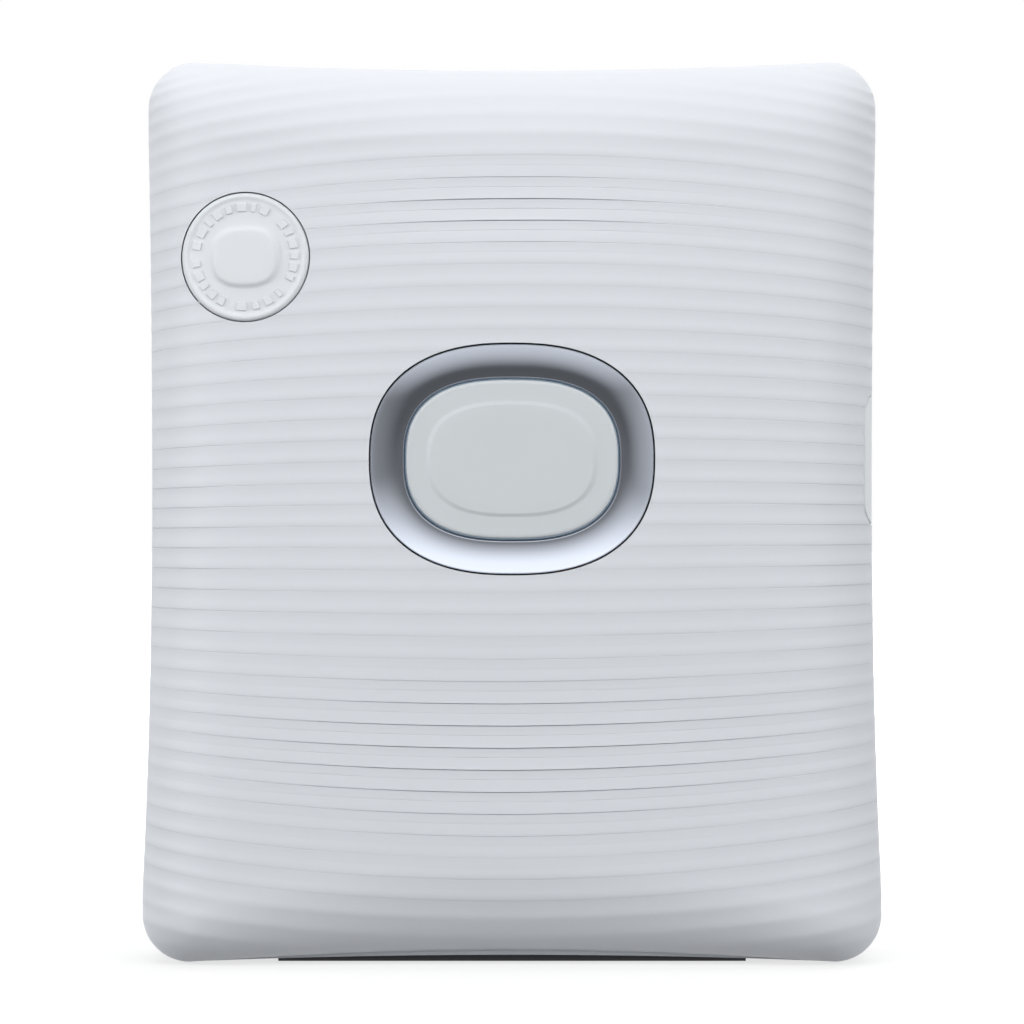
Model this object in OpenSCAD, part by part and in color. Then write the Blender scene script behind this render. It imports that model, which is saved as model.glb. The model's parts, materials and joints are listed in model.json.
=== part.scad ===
// Pocket photo printer: a ribbed pillow-shaped front cover over a rear case with a film door,
// a film chamber, a pair of feed rollers driven by a small motor, and the boards and battery.
// The printer stands on its lower edge: +Z is up, the ribbed front faces -Y, +X is to its right.

/* [Body] */
// Width across the widest place, just above the lower corners
body_w = 101; // [91:0.5:111]
// How far each side pulls in at the waist
waist_in = 1.3; // [0.4:0.1:2]
// How far each side is still in just below the upper corners
top_in = 0.8; // [0:0.1:1.4]
// Height from the base to the upper corners
body_h = 123; // [111:0.5:135]
// Depth from the middle of the front to the film door
body_d = 34; // [31:0.5:38]
// Corner radius of the outline
corner_r = 6.5; // [5.5:0.5:8]
// Height of the waist
waist_z = 64.7; // [58:0.5:70]
// Dip of the upper edge between its corners
top_dip = 1.2; // [0.6:0.1:1.8]
// Rise of the front cover's lower edge between its corners
cover_rise = 1.6; // [1:0.1:2.2]
// Rise of the rear case's lower edge between its corners
case_rise = 0.9; // [0.5:0.1:1.2]
// Wall thickness of the front cover and the rear case
wall = 2; // [1.6:0.1:2.2]
// Depth of the front cover, from its middle to the seam
cover_depth = 13; // [12:0.5:14]
// How far the dome stands forward of the rolled edges
dome_h = 4.5; // [3:0.1:5.5]
// Reach of the rolled edge at the sides
side_roll = 10; // [8:0.5:12]
// Reach of the rolled edge at the top and bottom
end_roll = 11; // [9:0.5:13]
// Width of the shadow line between the two shells
seam_gap = 0.3; // [0.2:0.05:0.5]
// How far each end of the foot strip is in from the widest place
foot_end = 18.5; // [12:0.5:24]
// How far the foot strip is in from the back
foot_back = 5; // [4:0.5:7]

/* [Ribs] */
// Height of one rib at the middle of the front
rib_pitch = 2.9; // [2.6:0.05:3.2]
// Depth of the groove between two ribs
rib_depth = 0.35; // [0.2:0.05:0.5]
// Share by which the ribs close up towards the sides
rib_arch = 0.09; // [0:0.01:0.12]
// Height of the one straight groove
level_z = 56.8; // [55:0.1:60]

/* [Buttons] */
// Height of the power button's centre
dish_z = 68.6; // [66:0.2:72]
// Half width of the dish round the power button
dish_a = 19; // [17.5:0.1:20]
// Half height of the dish
dish_b = 15.4; // [14:0.1:16.5]
// Width of the sloping band of the dish
dish_band = 4.5; // [4:0.1:5]
// Depth of the dish
dish_depth = 3.2; // [2.6:0.1:3.6]
// Travel of the power button
power_travel = 0.5; // [0.3:0.1:0.6]
// Diameter of the function button
function_d = 17.3; // [15:0.1:18.5]
// Distance of the function button's centre from the widest place of the left side
function_side = 14.6; // [13.5:0.1:16]
// Distance of the function button's centre below the upper corners
function_drop = 27.2; // [25:0.2:31]
// Travel of the function button
function_travel = 0.5; // [0.3:0.1:0.6]
// Gap round the power and function buttons
button_gap = 0.25; // [0.2:0.05:0.35]

/* [Film chamber] */
// Room between the film chamber and the widest place of each side
side_room = 11; // [10.5:0.1:12.5]
// Room between the film chamber and the upper corners
roof_room = 19; // [18:0.5:23]
// Height of the chamber's floor
chamber_z = 12; // [11.5:0.5:13]
// Thickness of the chassis
chassis_t = 1.5; // [1.2:0.1:1.6]
// How far each end of the exit slot is in from the chamber's wall
exit_margin = 1; // [0.5:0.1:2.5]
// Depth of the exit slot
exit_d = 6.4; // [6:0.1:7]

/* [Film door] */
// Thickness of the door's skin
door_t = 1.8; // [1.5:0.1:2]
// Depth of the door's edge rib
door_rim = 1.4; // [1.1:0.1:1.6]
// Margin of the door outside the chamber, on the latch side
door_margin = 2.1; // [1.8:0.1:2.4]
// Gap round the film door
door_gap = 0.4; // [0.3:0.05:0.5]
// Radius of the hinge barrel
barrel_r = 1.5; // [1.4:0.05:1.6]
// Radius of the hinge pins
pin_r = 0.75; // [0.6:0.05:0.8]
// Radial clearance of a running fit
running = 0.05; // [0.03:0.01:0.08]
// Width of the window in the door
window_w = 22; // [16:1:26]
// Height of the window in the door
window_h = 6; // [5:0.5:8]
// Distance of the window's centre below the chamber's roof
window_drop = 20; // [14:1:26]
// Height of the pressure plate's centre above the chamber's floor
plate_rise = 48; // [40:1:52]

/* [Latch] */
// Height of the latch button
latch_h = 17.5; // [15:0.5:19]
// Height of the latch button's centre
latch_z = 68.6; // [66:0.2:71]
// Distance from the seam to the latch button's front end
latch_front = 4.2; // [3.6:0.1:4.6]
// Distance from the seam to the latch button's back end
latch_back = 6.4; // [6:0.1:7]
// Gap round the latch button
latch_gap = 0.35; // [0.3:0.05:0.5]

/* [Rollers and gears] */
// Radius of a feed roller's rubber
roller_r = 3.85; // [3.6:0.05:3.9]
// Distance between the two roller shafts
roller_pitch = 8; // [7.9:0.05:8.2]
// Height of the rollers above the chamber's roof
roller_rise = 5.7; // [5.7:0.1:6.4]
// Radius of a roller shaft
shaft_r = 1.5; // [1.2:0.1:1.7]
// Gear module
gear_m = 0.4; // [0.38:0.01:0.41]
// Thickness of a gear
gear_t = 0.9; // [0.8:0.1:1]
// Radius of the gear posts
post_r = 0.9; // [0.7:0.1:1]
// Height of the motor across its flats
motor_d = 6.4; // [5.8:0.2:6.6]
// Width of the motor across its round sides
motor_w = 10; // [9:0.2:10.5]
// Length of the motor
motor_l = 19; // [15:0.5:22]

/* [Boards and battery] */
// Thickness of the boards
board_t = 1; // [0.8:0.1:1.2]
// Thickness of the battery
battery_t = 4.4; // [3.6:0.1:4.8]
// Width of the battery
battery_w = 52; // [44:1:56]
// Share of the main board's height that the battery covers
battery_share = 0.465; // [0.4:0.01:0.49]
// Radius of the shank of a screw
screw_r = 1; // [0.8:0.1:1.1]

/* [Hidden] */

// Sizes that follow from the body
waist_w = body_w - 2 * waist_in;
top_w = body_w - 2 * top_in;
function_x = body_w / 2 - function_side;
function_z = body_h - function_drop;
chamber_w = body_w - 2 * side_room;
chamber_h = body_h - chamber_z - roof_room;
chamber_d = body_d - cover_depth - door_t - chassis_t;
exit_w = chamber_w - 2 * exit_margin;

// Planes across the depth
front_y = -body_d / 2;
back_y = body_d / 2;
seam_y = front_y + cover_depth;
door_in_y = back_y - door_t;
door_rim_y = door_in_y - door_rim;
chassis_back_y = door_in_y - chamber_d;
chassis_front_y = chassis_back_y - chassis_t;
boss_h = 1.4;
board_back_y = chassis_front_y - boss_h;
board_front_y = board_back_y - board_t;
// Clearances: near between pieces that pass each other, hair between pieces that are fitted together
near = 0.3;
hair = 0.1;

// The outline, seen from the front
edge_span = body_w / 2 - corner_r;
function flank(z) =
    let(low = z < waist_z,
        wide = (low ? body_w : top_w) / 2,
        run = (low ? waist_z : body_h - waist_z) - 1.5 * corner_r,
        t = min(1, abs(z - waist_z) / run))
    waist_w / 2 + (wide - waist_w / 2) * t * t;
function half_w(z) =
    let(left = min(z, body_h - z), short = max(0, corner_r - left))
    flank(z) - corner_r + sqrt(corner_r * corner_r - short * short);
function bow(x) = max(0, 1 - pow(x / edge_span, 2));
function top_z(x) = body_h - top_dip * bow(x);

// One closed loop of the outline, set in by a distance, from the middle of the base by way of +X
corner_steps = 6;
edge_steps = 6;
flank_steps = 10;
function half_loop(inset, rise) =
    let(r = corner_r - inset,
        low_x = flank(corner_r) - corner_r,
        high_z = body_h - corner_r,
        high_x = flank(high_z) - corner_r)
    concat(
        [for (i = [0:edge_steps - 1]) let(x = low_x * i / edge_steps) [x, rise * bow(x) + inset]],
        [for (i = [0:corner_steps]) let(a = 90 * i / corner_steps - 90)
            [low_x + r * cos(a), corner_r + r * sin(a)]],
        [for (i = [1:flank_steps - 1]) let(z = corner_r + (high_z - corner_r) * i / flank_steps)
            [flank(z) - inset, z]],
        [for (i = [0:corner_steps]) let(a = 90 * i / corner_steps)
            [high_x + r * cos(a), high_z + r * sin(a)]],
        [for (i = [edge_steps - 1:-1:0]) let(x = high_x * i / edge_steps) [x, top_z(x) - inset]]);
function loop(inset, rise) =
    let(right = half_loop(inset, rise))
    concat(right, [for (i = [len(right) - 2:-1:1]) [-right[i][0], right[i][1]]]);

// A superellipse with its centre on the dish, as points in the XZ plane
function oval(a, b, power, steps) =
    [for (i = [0:steps - 1]) let(t = 360 * i / steps, c = cos(t), s = sin(t))
        [a * sign(c) * pow(abs(c), 2 / power), b * sign(s) * pow(abs(s), 2 / power)]];
function at_y(loop_points, y) = [for (p = loop_points) [p[0], y, p[1]]];

// The front surface: rolled edges that rise into a low dome
roll_h = cover_depth - dome_h;
function roll(t) = sqrt(1 - pow(1 - max(0, min(1, t)), 2));
function dome(x, z) =
    max(0, 1 - pow(abs(x) / (body_w / 2), 2.2)) * max(0, 1 - pow(abs(2 * z / body_h - 1), 2.2));
function lift(x, z, inset) =
    roll((half_w(z) - inset - abs(x)) / side_roll)
    * roll((min(top_z(x) - z, z - cover_rise * bow(x)) - inset) / end_roll);
function skin_y(x, z, inset = 0) = seam_y - lift(x, z, inset) * (roll_h + dome_h * dome(x, z));
// The side surface: how far +X the skin lies at a depth and height
function side_x(y, z) =
    let(share = min(1, max(0, (seam_y - y) / (roll_h + dome_h * dome(body_w / 2 - 2, z)))))
    half_w(z) - side_roll * (1 - sqrt(1 - share * share));

// Rows of the front surface follow the grooves: one row number counts one rib
row_low = -ceil((level_z - 5) / rib_pitch);
row_high = floor((body_h - level_z - 8) / rib_pitch);
low_band = 2;
high_band = 3;
function groove_z(k, u) = level_z + k * rib_pitch * (1 - rib_arch * u * u);
function row_end_z(k, inset) =
    k > row_high
        ? let(e = sin(90 * (k - row_high) / high_band))
            (1 - e) * groove_z(row_high, 1) + e * (body_h - inset)
        : k < row_low
            ? let(e = sin(90 * (row_low - k) / low_band)) (1 - e) * groove_z(row_low, 1) + e * inset
            : groove_z(k, 1);
function row_z(k, u, x, inset) =
    k > row_high
        ? let(e = sin(90 * (k - row_high) / high_band))
            (1 - e) * groove_z(row_high, u) + e * (top_z(x) - inset)
        : k < row_low
            ? let(e = sin(90 * (row_low - k) / low_band))
                (1 - e) * groove_z(row_low, u) + e * (cover_rise * bow(x) + inset)
            : groove_z(k, u);
function groove(k) =
    let(off = abs(k - round(k)),
        fade = min(1, max(0, (row_high + high_band - k) / high_band), max(0, (k - row_low + low_band) / low_band)))
    rib_depth * fade * max(0, 1 - off / 0.3);
function field(rows, columns, inset, ribs, thick) =
    [for (k = rows)
        let(wide = inset > 0 ? max(1, half_w(row_end_z(k, inset)) - inset) : half_w(row_end_z(k, 0)))
        [for (i = [0:columns])
            let(u = sin(180 * i / columns - 90),
                x = u * wide,
                z = row_z(k, u, x, inset),
                rim = i == 0 || i == columns || k == rows[0] || k == rows[len(rows) - 1],
                raised = rim ? 0 : lift(x, z, inset))
            [x, seam_y + thick - raised * (roll_h + dome_h * dome(x, z) - (ribs ? groove(k) : 0)), z]]];
// A closed solid: the field at the front, a flat face behind it
module pillow(grid) {
    w = len(grid[0]);
    h = len(grid);
    edge = concat(
        [for (i = [0:w - 1]) i],
        [for (j = [1:h - 1]) j * w + w - 1],
        [for (i = [w - 2:-1:0]) (h - 1) * w + i],
        [for (j = [h - 2:-1:1]) j * w]);
    cells = [for (j = [0:h - 2], i = [0:w - 2])
        let(a = j * w + i) each [[a, a + 1 + w, a + 1], [a, a + w, a + 1 + w]]];
    polyhedron([for (row = grid) each row], concat(cells, [edge]));
}
rib_rows = [for (k = [row_low - low_band:row_high + high_band - 1]) each [k, k + 0.3, k + 0.7],
    row_high + high_band];
plain_rows = concat(
    [for (i = [0:3]) row_low - low_band + low_band * i / 4],
    [for (i = [0:9]) row_low + (row_high - row_low) * i / 10],
    [for (i = [0:4]) row_high + high_band * i / 4]);
rib_columns = 18;
plain_columns = 14;

// A solid through rings of equal count, front to back
module loft(rings) {
    n = len(rings[0]);
    m = len(rings);
    sides = [for (j = [0:m - 2], i = [0:n - 1])
        let(a = j * n + i, b = j * n + (i + 1) % n) each [[a, b, b + n], [a, b + n, a + n]]];
    polyhedron(
        [for (ring = rings) each ring],
        concat([[for (i = [n - 1:-1:0]) i]], sides, [[for (i = [0:n - 1]) (m - 1) * n + i]]));
}

// Plain building moves
module block(xs, ys, zs) {
    translate([xs[0], ys[0], zs[0]]) cube([xs[1] - xs[0], ys[1] - ys[0], zs[1] - zs[0]]);
}
module slab_x(x0, x1) {
    translate([x0, 0, 0]) rotate([90, 0, 90]) linear_extrude(x1 - x0) children();
}
module slab_y(y0, y1) {
    translate([0, y1, 0]) rotate([90, 0, 0]) linear_extrude(y1 - y0) children();
}
module rod_x(x0, x1, y, z, r) {
    translate([x0, y, z]) rotate([0, 90, 0]) cylinder(r = r, h = x1 - x0, $fn = 40);
}
module rod_y(x, z, y0, y1, r) {
    translate([x, y0, z]) rotate([-90, 0, 0]) cylinder(r = r, h = y1 - y0, $fn = 40);
}
module rod_z(x, y, z0, z1, r) {
    translate([x, y, z0]) cylinder(r = r, h = z1 - z0, $fn = 40);
}
module plate_y(xs, zs, r) {
    // A rounded rectangle as a 2-D outline in X and Z
    union() {
        translate([xs[0] + r, zs[0]]) square([xs[1] - xs[0] - 2 * r, zs[1] - zs[0]]);
        translate([xs[0], zs[0] + r]) square([xs[1] - xs[0], zs[1] - zs[0] - 2 * r]);
        for (x = [xs[0] + r, xs[1] - r], z = [zs[0] + r, zs[1] - r])
            translate([x, z]) circle(r = r, $fn = 40);
    }
}

// Screws that close the case, from the back into the front cover
screw_head_r = 1.9;
screw_head_t = 1.3;
case_boss_r = 2.6;
case_screws_at = [
    [flank(body_h) - 6.2, body_h - 5.7], [6.2 - flank(body_h), body_h - 5.7],
    [body_w / 2 - 14.5, 6.4], [14.5 - body_w / 2, 6.4]
];
case_head_y = seam_y + 3.5;
case_tip_y = seam_y - 4.5;

// The chassis's walls, and the ears on them that stand clear of the claw
side_in = chamber_w / 2;
side_out = side_in + chassis_t;
ear_r = 1.8;
claw_room = 1.4;
ear_x = side_out + claw_room + ear_r;

// The switch board stands on bosses of the front cover
switch_front_y = board_front_y - 3.2;
switch_back_y = switch_front_y + board_t;
switch_bosses_at = [[-13, dish_z + 12.6], [13, dish_z + 11], [9.9 - function_x, function_z + 1]];
switch_boss_r = 1.9;

// The latch window is cut in both shells
latch_y0 = seam_y - latch_front;
latch_y1 = seam_y + latch_back;
latch_r = 3;
module latch_outline(gap) {
    plate_y([latch_y0 - gap, latch_y1 + gap],
        [latch_z - latch_h / 2 - gap, latch_z + latch_h / 2 + gap], latch_r + gap);
}

module front_cover() {
    lip_front_y = seam_y - 1.35;
    lip_y = seam_y + 1.4;
    color([0.86, 0.88, 0.9])
    resize([0, 0, 0]) difference() {
        union() {
            difference() {
                pillow(field(rib_rows, rib_columns, 0, true, 0));
                pillow(field(plain_rows, plain_columns, wall, false, wall));
            }
            // The lip that locates the cover inside the rear case
            difference() {
                loft([at_y(loop(wall + 0.15, cover_rise), lip_front_y),
                    at_y(loop(wall + 0.15, cover_rise), lip_y)]);
                loft([at_y(loop(wall + 1.15, cover_rise), lip_front_y - 1),
                    at_y(loop(wall + 1.15, cover_rise), lip_y + 1)]);
            }
            // Screw bosses, rooted half way into the skin
            intersection() {
                pillow(field(plain_rows, plain_columns, wall / 2, false, wall / 2));
                union() {
                    for (at = case_screws_at)
                        rod_y(at[0], at[1], front_y, seam_y, case_boss_r);
                    for (at = switch_bosses_at)
                        rod_y(at[0], at[1], front_y, switch_front_y, switch_boss_r);
                }
            }
        }
        // The opening of the dish
        translate([0, 0, dish_z]) slab_y(front_y - 1, seam_y)
            polygon(oval(dish_a + hair, dish_b + hair, dish_power, dish_steps));
        // The opening of the function button
        rod_y(-function_x, function_z, front_y, switch_front_y, function_d / 2 + button_gap);
        slab_x(waist_w / 2 - wall - 4, body_w) latch_outline(latch_gap);
        // A shallow pocket for the motor's pinion
        rod_x(big_x0 - near, big_x0 + gear_t + near, motor_y, motor_z, gear_m * (pinion_teeth / 2 + 0.8) + near);
        for (at = case_screws_at)
            rod_y(at[0], at[1], case_tip_y - 1, seam_y + 1, screw_r);
        for (at = switch_bosses_at)
            rod_y(at[0], at[1], switch_front_y - 2.6, switch_front_y + 1, board_screw_r);
    }
}

// The film door and its opening
door_z0 = chamber_z - chassis_t + door_gap;
door_z1 = chamber_z + chamber_h + chassis_t - door_gap;
door_x1 = side_in + door_margin;
barrel_x = -(side_in + 3.1);
barrel_y = back_y - barrel_r;
opening_x0 = barrel_x - barrel_r - near;
opening_x1 = door_x1 + door_gap;
opening_z0 = door_z0 - door_gap;
opening_z1 = door_z1 + door_gap;
pin_reach = 3;

// Where the print leaves, above the rollers
roller_z = chamber_z + chamber_h + roller_rise;
film_y = chassis_back_y + 3.5;
front_roller_y = film_y - roller_pitch / 2;
rear_roller_y = film_y + roller_pitch / 2;
exit_y0 = film_y - exit_d / 2;
exit_y1 = film_y + exit_d / 2;
bezel_t = 0.8;

// The charging socket, in the left side
usb_w = 9;
usb_d = 3.2;
usb_l = 6.6;
usb_z = 40.5;
usb_y = seam_y + 6;
usb_x0 = -(flank(usb_z) - 0.6);
usb_wall = 0.3;
usb_board_y = usb_y + usb_d / 2;

// The soft edge round the back: how far in, and how far forward of the back, each ring lies
back_edge = [[0, 3.6], [0.5, 1.9], [1.6, 0.6], [3.1, 0]];
back_step = 4.5;
module rear_case() {
    color([0.83, 0.85, 0.87])
    difference() {
        union() {
            difference() {
                loft(concat(
                    [at_y(loop(0.25, case_rise), seam_y), at_y(loop(0, case_rise), seam_y + seam_gap)],
                    [for (e = back_edge) at_y(loop(e[0], case_rise), back_y - e[1])]));
                slab_y(seam_y - 1, back_y - back_step) polygon(loop(wall, case_rise));
                slab_y(back_y - back_step - 0.5, back_y - wall) polygon(loop(wall + 1.5, case_rise));
            }
            for (at = case_screws_at)
                rod_y(at[0], at[1], seam_y, back_y - 1.5, case_boss_r);
            for (at = chassis_screws_at)
                rod_y(at[0], at[1], chassis_back_y, back_y - 1, ear_r);
            // Bearing blocks for the hinge pins, above and below the door
            for (zs = [[opening_z0 - pin_reach - 1, opening_z0], [opening_z1, opening_z1 + pin_reach + 1]])
                block([barrel_x - 2.2, barrel_x + 2.2], [barrel_y - 2.4, back_y - 0.5], zs);
            // Lugs for the latch's pin
            for (zs = latch_lugs)
                block([latch_pin_x - 1.8, flank(latch_z) - wall / 2], [latch_pin_y - 1.8, latch_y1 + 3], zs);
        }
        // The door's opening, and the swing of its hinge barrel
        block([barrel_x, opening_x1], [back_y - 6, back_y + 1], [opening_z0, opening_z1]);
        block([opening_x0, barrel_x + 1], [barrel_y - barrel_r - near, back_y + 1], [opening_z0, opening_z1]);
        rod_z(barrel_x, barrel_y, opening_z0 - pin_reach, opening_z1 + pin_reach, pin_r);
        // The exit slot
        block([-exit_w / 2, exit_w / 2], [exit_y0, exit_y1], [body_h - 6, body_h + 1]);
        slab_x(waist_w / 2 - wall - 4, body_w) latch_outline(latch_gap);
        rod_z(latch_pin_x, latch_pin_y, latch_lugs[0][0] + 0.6, latch_lugs[1][1] - 0.6, pin_r);
        // The charging socket's mouth
        slab_x(-body_w, -waist_w / 2 + wall + 2)
            plate_y([usb_y - usb_d / 2 - hair, usb_y + usb_d / 2 + hair],
                [usb_z - usb_w / 2 - hair, usb_z + usb_w / 2 + hair], usb_d / 2);
        for (at = case_screws_at) {
            rod_y(at[0], at[1], seam_y - 1, case_head_y + 1, screw_r + 0.2);
            rod_y(at[0], at[1], case_head_y, back_y + 1, screw_head_r + 0.2);
        }
        for (at = chassis_screws_at)
            rod_y(at[0], at[1], chassis_back_y - 1, chassis_back_y + 5, screw_r);
        // The seat of the foot strip
        block([-foot_w / 2, foot_w / 2], [foot_y0, foot_y1], [-1, foot_t]);
    }
}

// A dark strip of rubber under the middle of the base
foot_w = body_w - 2 * foot_end;
foot_t = 1.4;
foot_y0 = seam_y + seam_gap;
foot_y1 = back_y - foot_back;
module foot_strip() {
    color([0.12, 0.12, 0.13]) block([-foot_w / 2, foot_w / 2], [foot_y0, foot_y1], [0, foot_t]);
}

// The dish round the power button
dish_power = 2.43;
dish_steps = 48;
dish_rim_y = skin_y(dish_a, dish_z) + 0.15;
dish_floor_y = dish_rim_y + dish_depth;
eye_a = dish_a - dish_band;
eye_b = dish_b - dish_band;
eye_power = 2.6;
band_steps = 4;
function band_ring(share, y) =
    let(outer = oval(dish_a, dish_b, dish_power, dish_steps), inner = oval(eye_a, eye_b, eye_power, dish_steps))
    [for (i = [0:dish_steps - 1])
        [outer[i][0] + (inner[i][0] - outer[i][0]) * share, y, outer[i][1] + (inner[i][1] - outer[i][1]) * share]];
module ring_loft(rings) {
    n = len(rings[0]);
    m = len(rings);
    polyhedron([for (ring = rings) each ring],
        [for (j = [0:m - 1], i = [0:n - 1])
            let(k = (j + 1) % m, a = j * n + i, b = j * n + (i + 1) % n, c = k * n + (i + 1) % n, d = k * n + i)
            each [[a, b, c], [a, c, d]]]);
}
module dish_ring() {
    skin = 1;
    color([0.62, 0.65, 0.69])
    translate([0, 0, dish_z])
    ring_loft(concat(
        [for (i = [band_steps:-1:0]) let(t = i / band_steps)
            band_ring(t, dish_rim_y + dish_depth * (1 - pow(1 - t, 1.8)))],
        [band_ring(0, dish_rim_y + 2.4), band_ring(0.35, dish_floor_y + skin), band_ring(1, dish_floor_y + skin)]));
}

// The ring of clear plastic that lights up round the button
guide_t = 0.55;
guide_front_y = dish_floor_y - 0.4;
led_h = 0.6;
module light_guide() {
    color([0.75, 0.88, 1, 0.7])
    translate([0, 0, dish_z]) slab_y(guide_front_y, switch_front_y - led_h)
    difference() {
        polygon(oval(eye_a - hair, eye_b - hair, eye_power, dish_steps));
        polygon(oval(eye_a - hair - guide_t, eye_b - hair - guide_t, eye_power, dish_steps));
    }
}

// The power button: a plateau inside a sloping rim, and a stem over its switch
power_a = eye_a - hair - guide_t - button_gap;
power_b = eye_b - hair - guide_t - button_gap;
power_front_y = dish_rim_y + 0.9;
power_back_y = power_front_y + 2.4;
switch_body_h = 1.6;
plunger_h = 0.4;
plunger_y = switch_front_y - switch_body_h - plunger_h;
stem_gap = 0.2;
stem_r = 1.6;
module power_button() {
    color([0.8, 0.82, 0.83])
    translate([0, 0, dish_z])
    union() {
        loft([
            at_y(oval(power_a * 0.74, power_b * 0.7, eye_power, dish_steps), power_front_y),
            at_y(oval(power_a * 0.79, power_b * 0.76, eye_power, dish_steps), power_front_y + 0.12),
            at_y(oval(power_a * 0.93, power_b * 0.92, eye_power, dish_steps), power_front_y + 0.3),
            at_y(oval(power_a, power_b, eye_power, dish_steps), power_front_y + 0.9),
            at_y(oval(power_a, power_b, eye_power, dish_steps), power_back_y)]);
        rod_y(0, 0, power_back_y - 0.5, plunger_y - power_travel - stem_gap, stem_r);
    }
}

// A silicone dome that returns a button
module dome_shell(x, z, y0, y1) {
    foot_r = 3.9;
    neck_r = stem_r + 0.9;
    skin = 0.5;
    translate([x, y1, z]) rotate([90, 0, 0]) rotate_extrude($fn = 48)
        polygon([[foot_r - skin, 0], [foot_r + 0.6, 0], [foot_r + 0.6, skin], [foot_r, skin],
            [neck_r, y1 - y0], [neck_r - skin, y1 - y0], [foot_r - skin, 0.01 + skin]]);
}
module power_button_dome() {
    color([0.25, 0.25, 0.27]) dome_shell(0, dish_z, power_back_y, switch_front_y);
}

// The function button follows the front surface and carries a raised pad
function_r = function_d / 2;
function_steps = 40;
pad_a = 4.6;
pad_b = 4.1;
pad_lift = 0.35;
// From the pad's foot to the rim: the share of the button's radius, and how far the ring is raised
function_rings = [[0.7, 0], [0.9, 0], [0.96, 0.1], [1, -0.25]];
function_back_y = skin_y(-function_x - function_r, function_z) + 0.8;
function_stem_y = plunger_y - function_travel - stem_gap;
function_well_y = function_stem_y - 0.6;
function_well_r = 4.4;
function function_face(x, z, up) =
    [x - function_x, skin_y(x - function_x, z + function_z) - up, z + function_z];
module function_button() {
    color([0.86, 0.88, 0.9])
    resize([0, 0, 0]) union() {
        difference() {
            loft(concat(
            [[for (p = oval(pad_a * 0.86, pad_b * 0.86, 3, function_steps)) function_face(p[0], p[1], pad_lift)],
                [for (p = oval(pad_a, pad_b, 3, function_steps)) function_face(p[0], p[1], pad_lift * 0.4)],
                [for (p = oval(pad_a + 0.3, pad_b + 0.3, 2.8, function_steps)) function_face(p[0], p[1], 0)]],
            [for (ring = function_rings) [for (p = oval(function_r * ring[0], function_r * ring[0], 2, function_steps))
                function_face(p[0], p[1], ring[1])]],
            [[for (p = oval(function_r, function_r, 2, function_steps))
                [p[0] - function_x, function_back_y, p[1] + function_z]]]));
            // The well behind the face, where the dome stands
            rod_y(-function_x, function_z, function_well_y, function_back_y + 1, function_well_r);
        }
        rod_y(-function_x, function_z, function_well_y - near, function_stem_y, stem_r);
    }
}
module function_button_dome() {
    color([0.25, 0.25, 0.27]) dome_shell(-function_x, function_z, function_well_y, switch_front_y);
}

// The switch board, behind both buttons
board_screw_r = 0.7;
module switch_board() {
    color([0.1, 0.35, 0.2])
    difference() {
        slab_y(switch_front_y, switch_back_y) {
            translate([-17, dish_z - 13]) square([34, 27]);
            translate([4.9 - function_x, dish_z + 8]) square([function_x - 21.9, function_z - dish_z - 8]);
            translate([-function_x - 5, function_z - 7]) square([function_x - 15, 14]);
        }
        for (at = switch_bosses_at)
            rod_y(at[0], at[1], switch_front_y - 1, switch_back_y + 1, board_screw_r + 0.1);
    }
}
module tact_switches() {
    color([0.15, 0.15, 0.16])
    for (at = [[0, dish_z], [-function_x, function_z]]) {
        side = 1.8;
        block([at[0] - side, at[0] + side], [switch_front_y - switch_body_h, switch_front_y],
            [at[1] - side, at[1] + side]);
        rod_y(at[0], at[1], plunger_y, switch_front_y - switch_body_h, 1.1);
    }
}
module status_leds() {
    color([0.95, 0.95, 0.85])
    for (side = [-1, 1], up = [-1, 1])
        translate([side * (eye_a - 4.2), 0, dish_z + up * (eye_b - 1.4)])
            block([-0.9, 0.9], [switch_front_y - led_h, switch_front_y], [-0.7, 0.7]);
}

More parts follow.
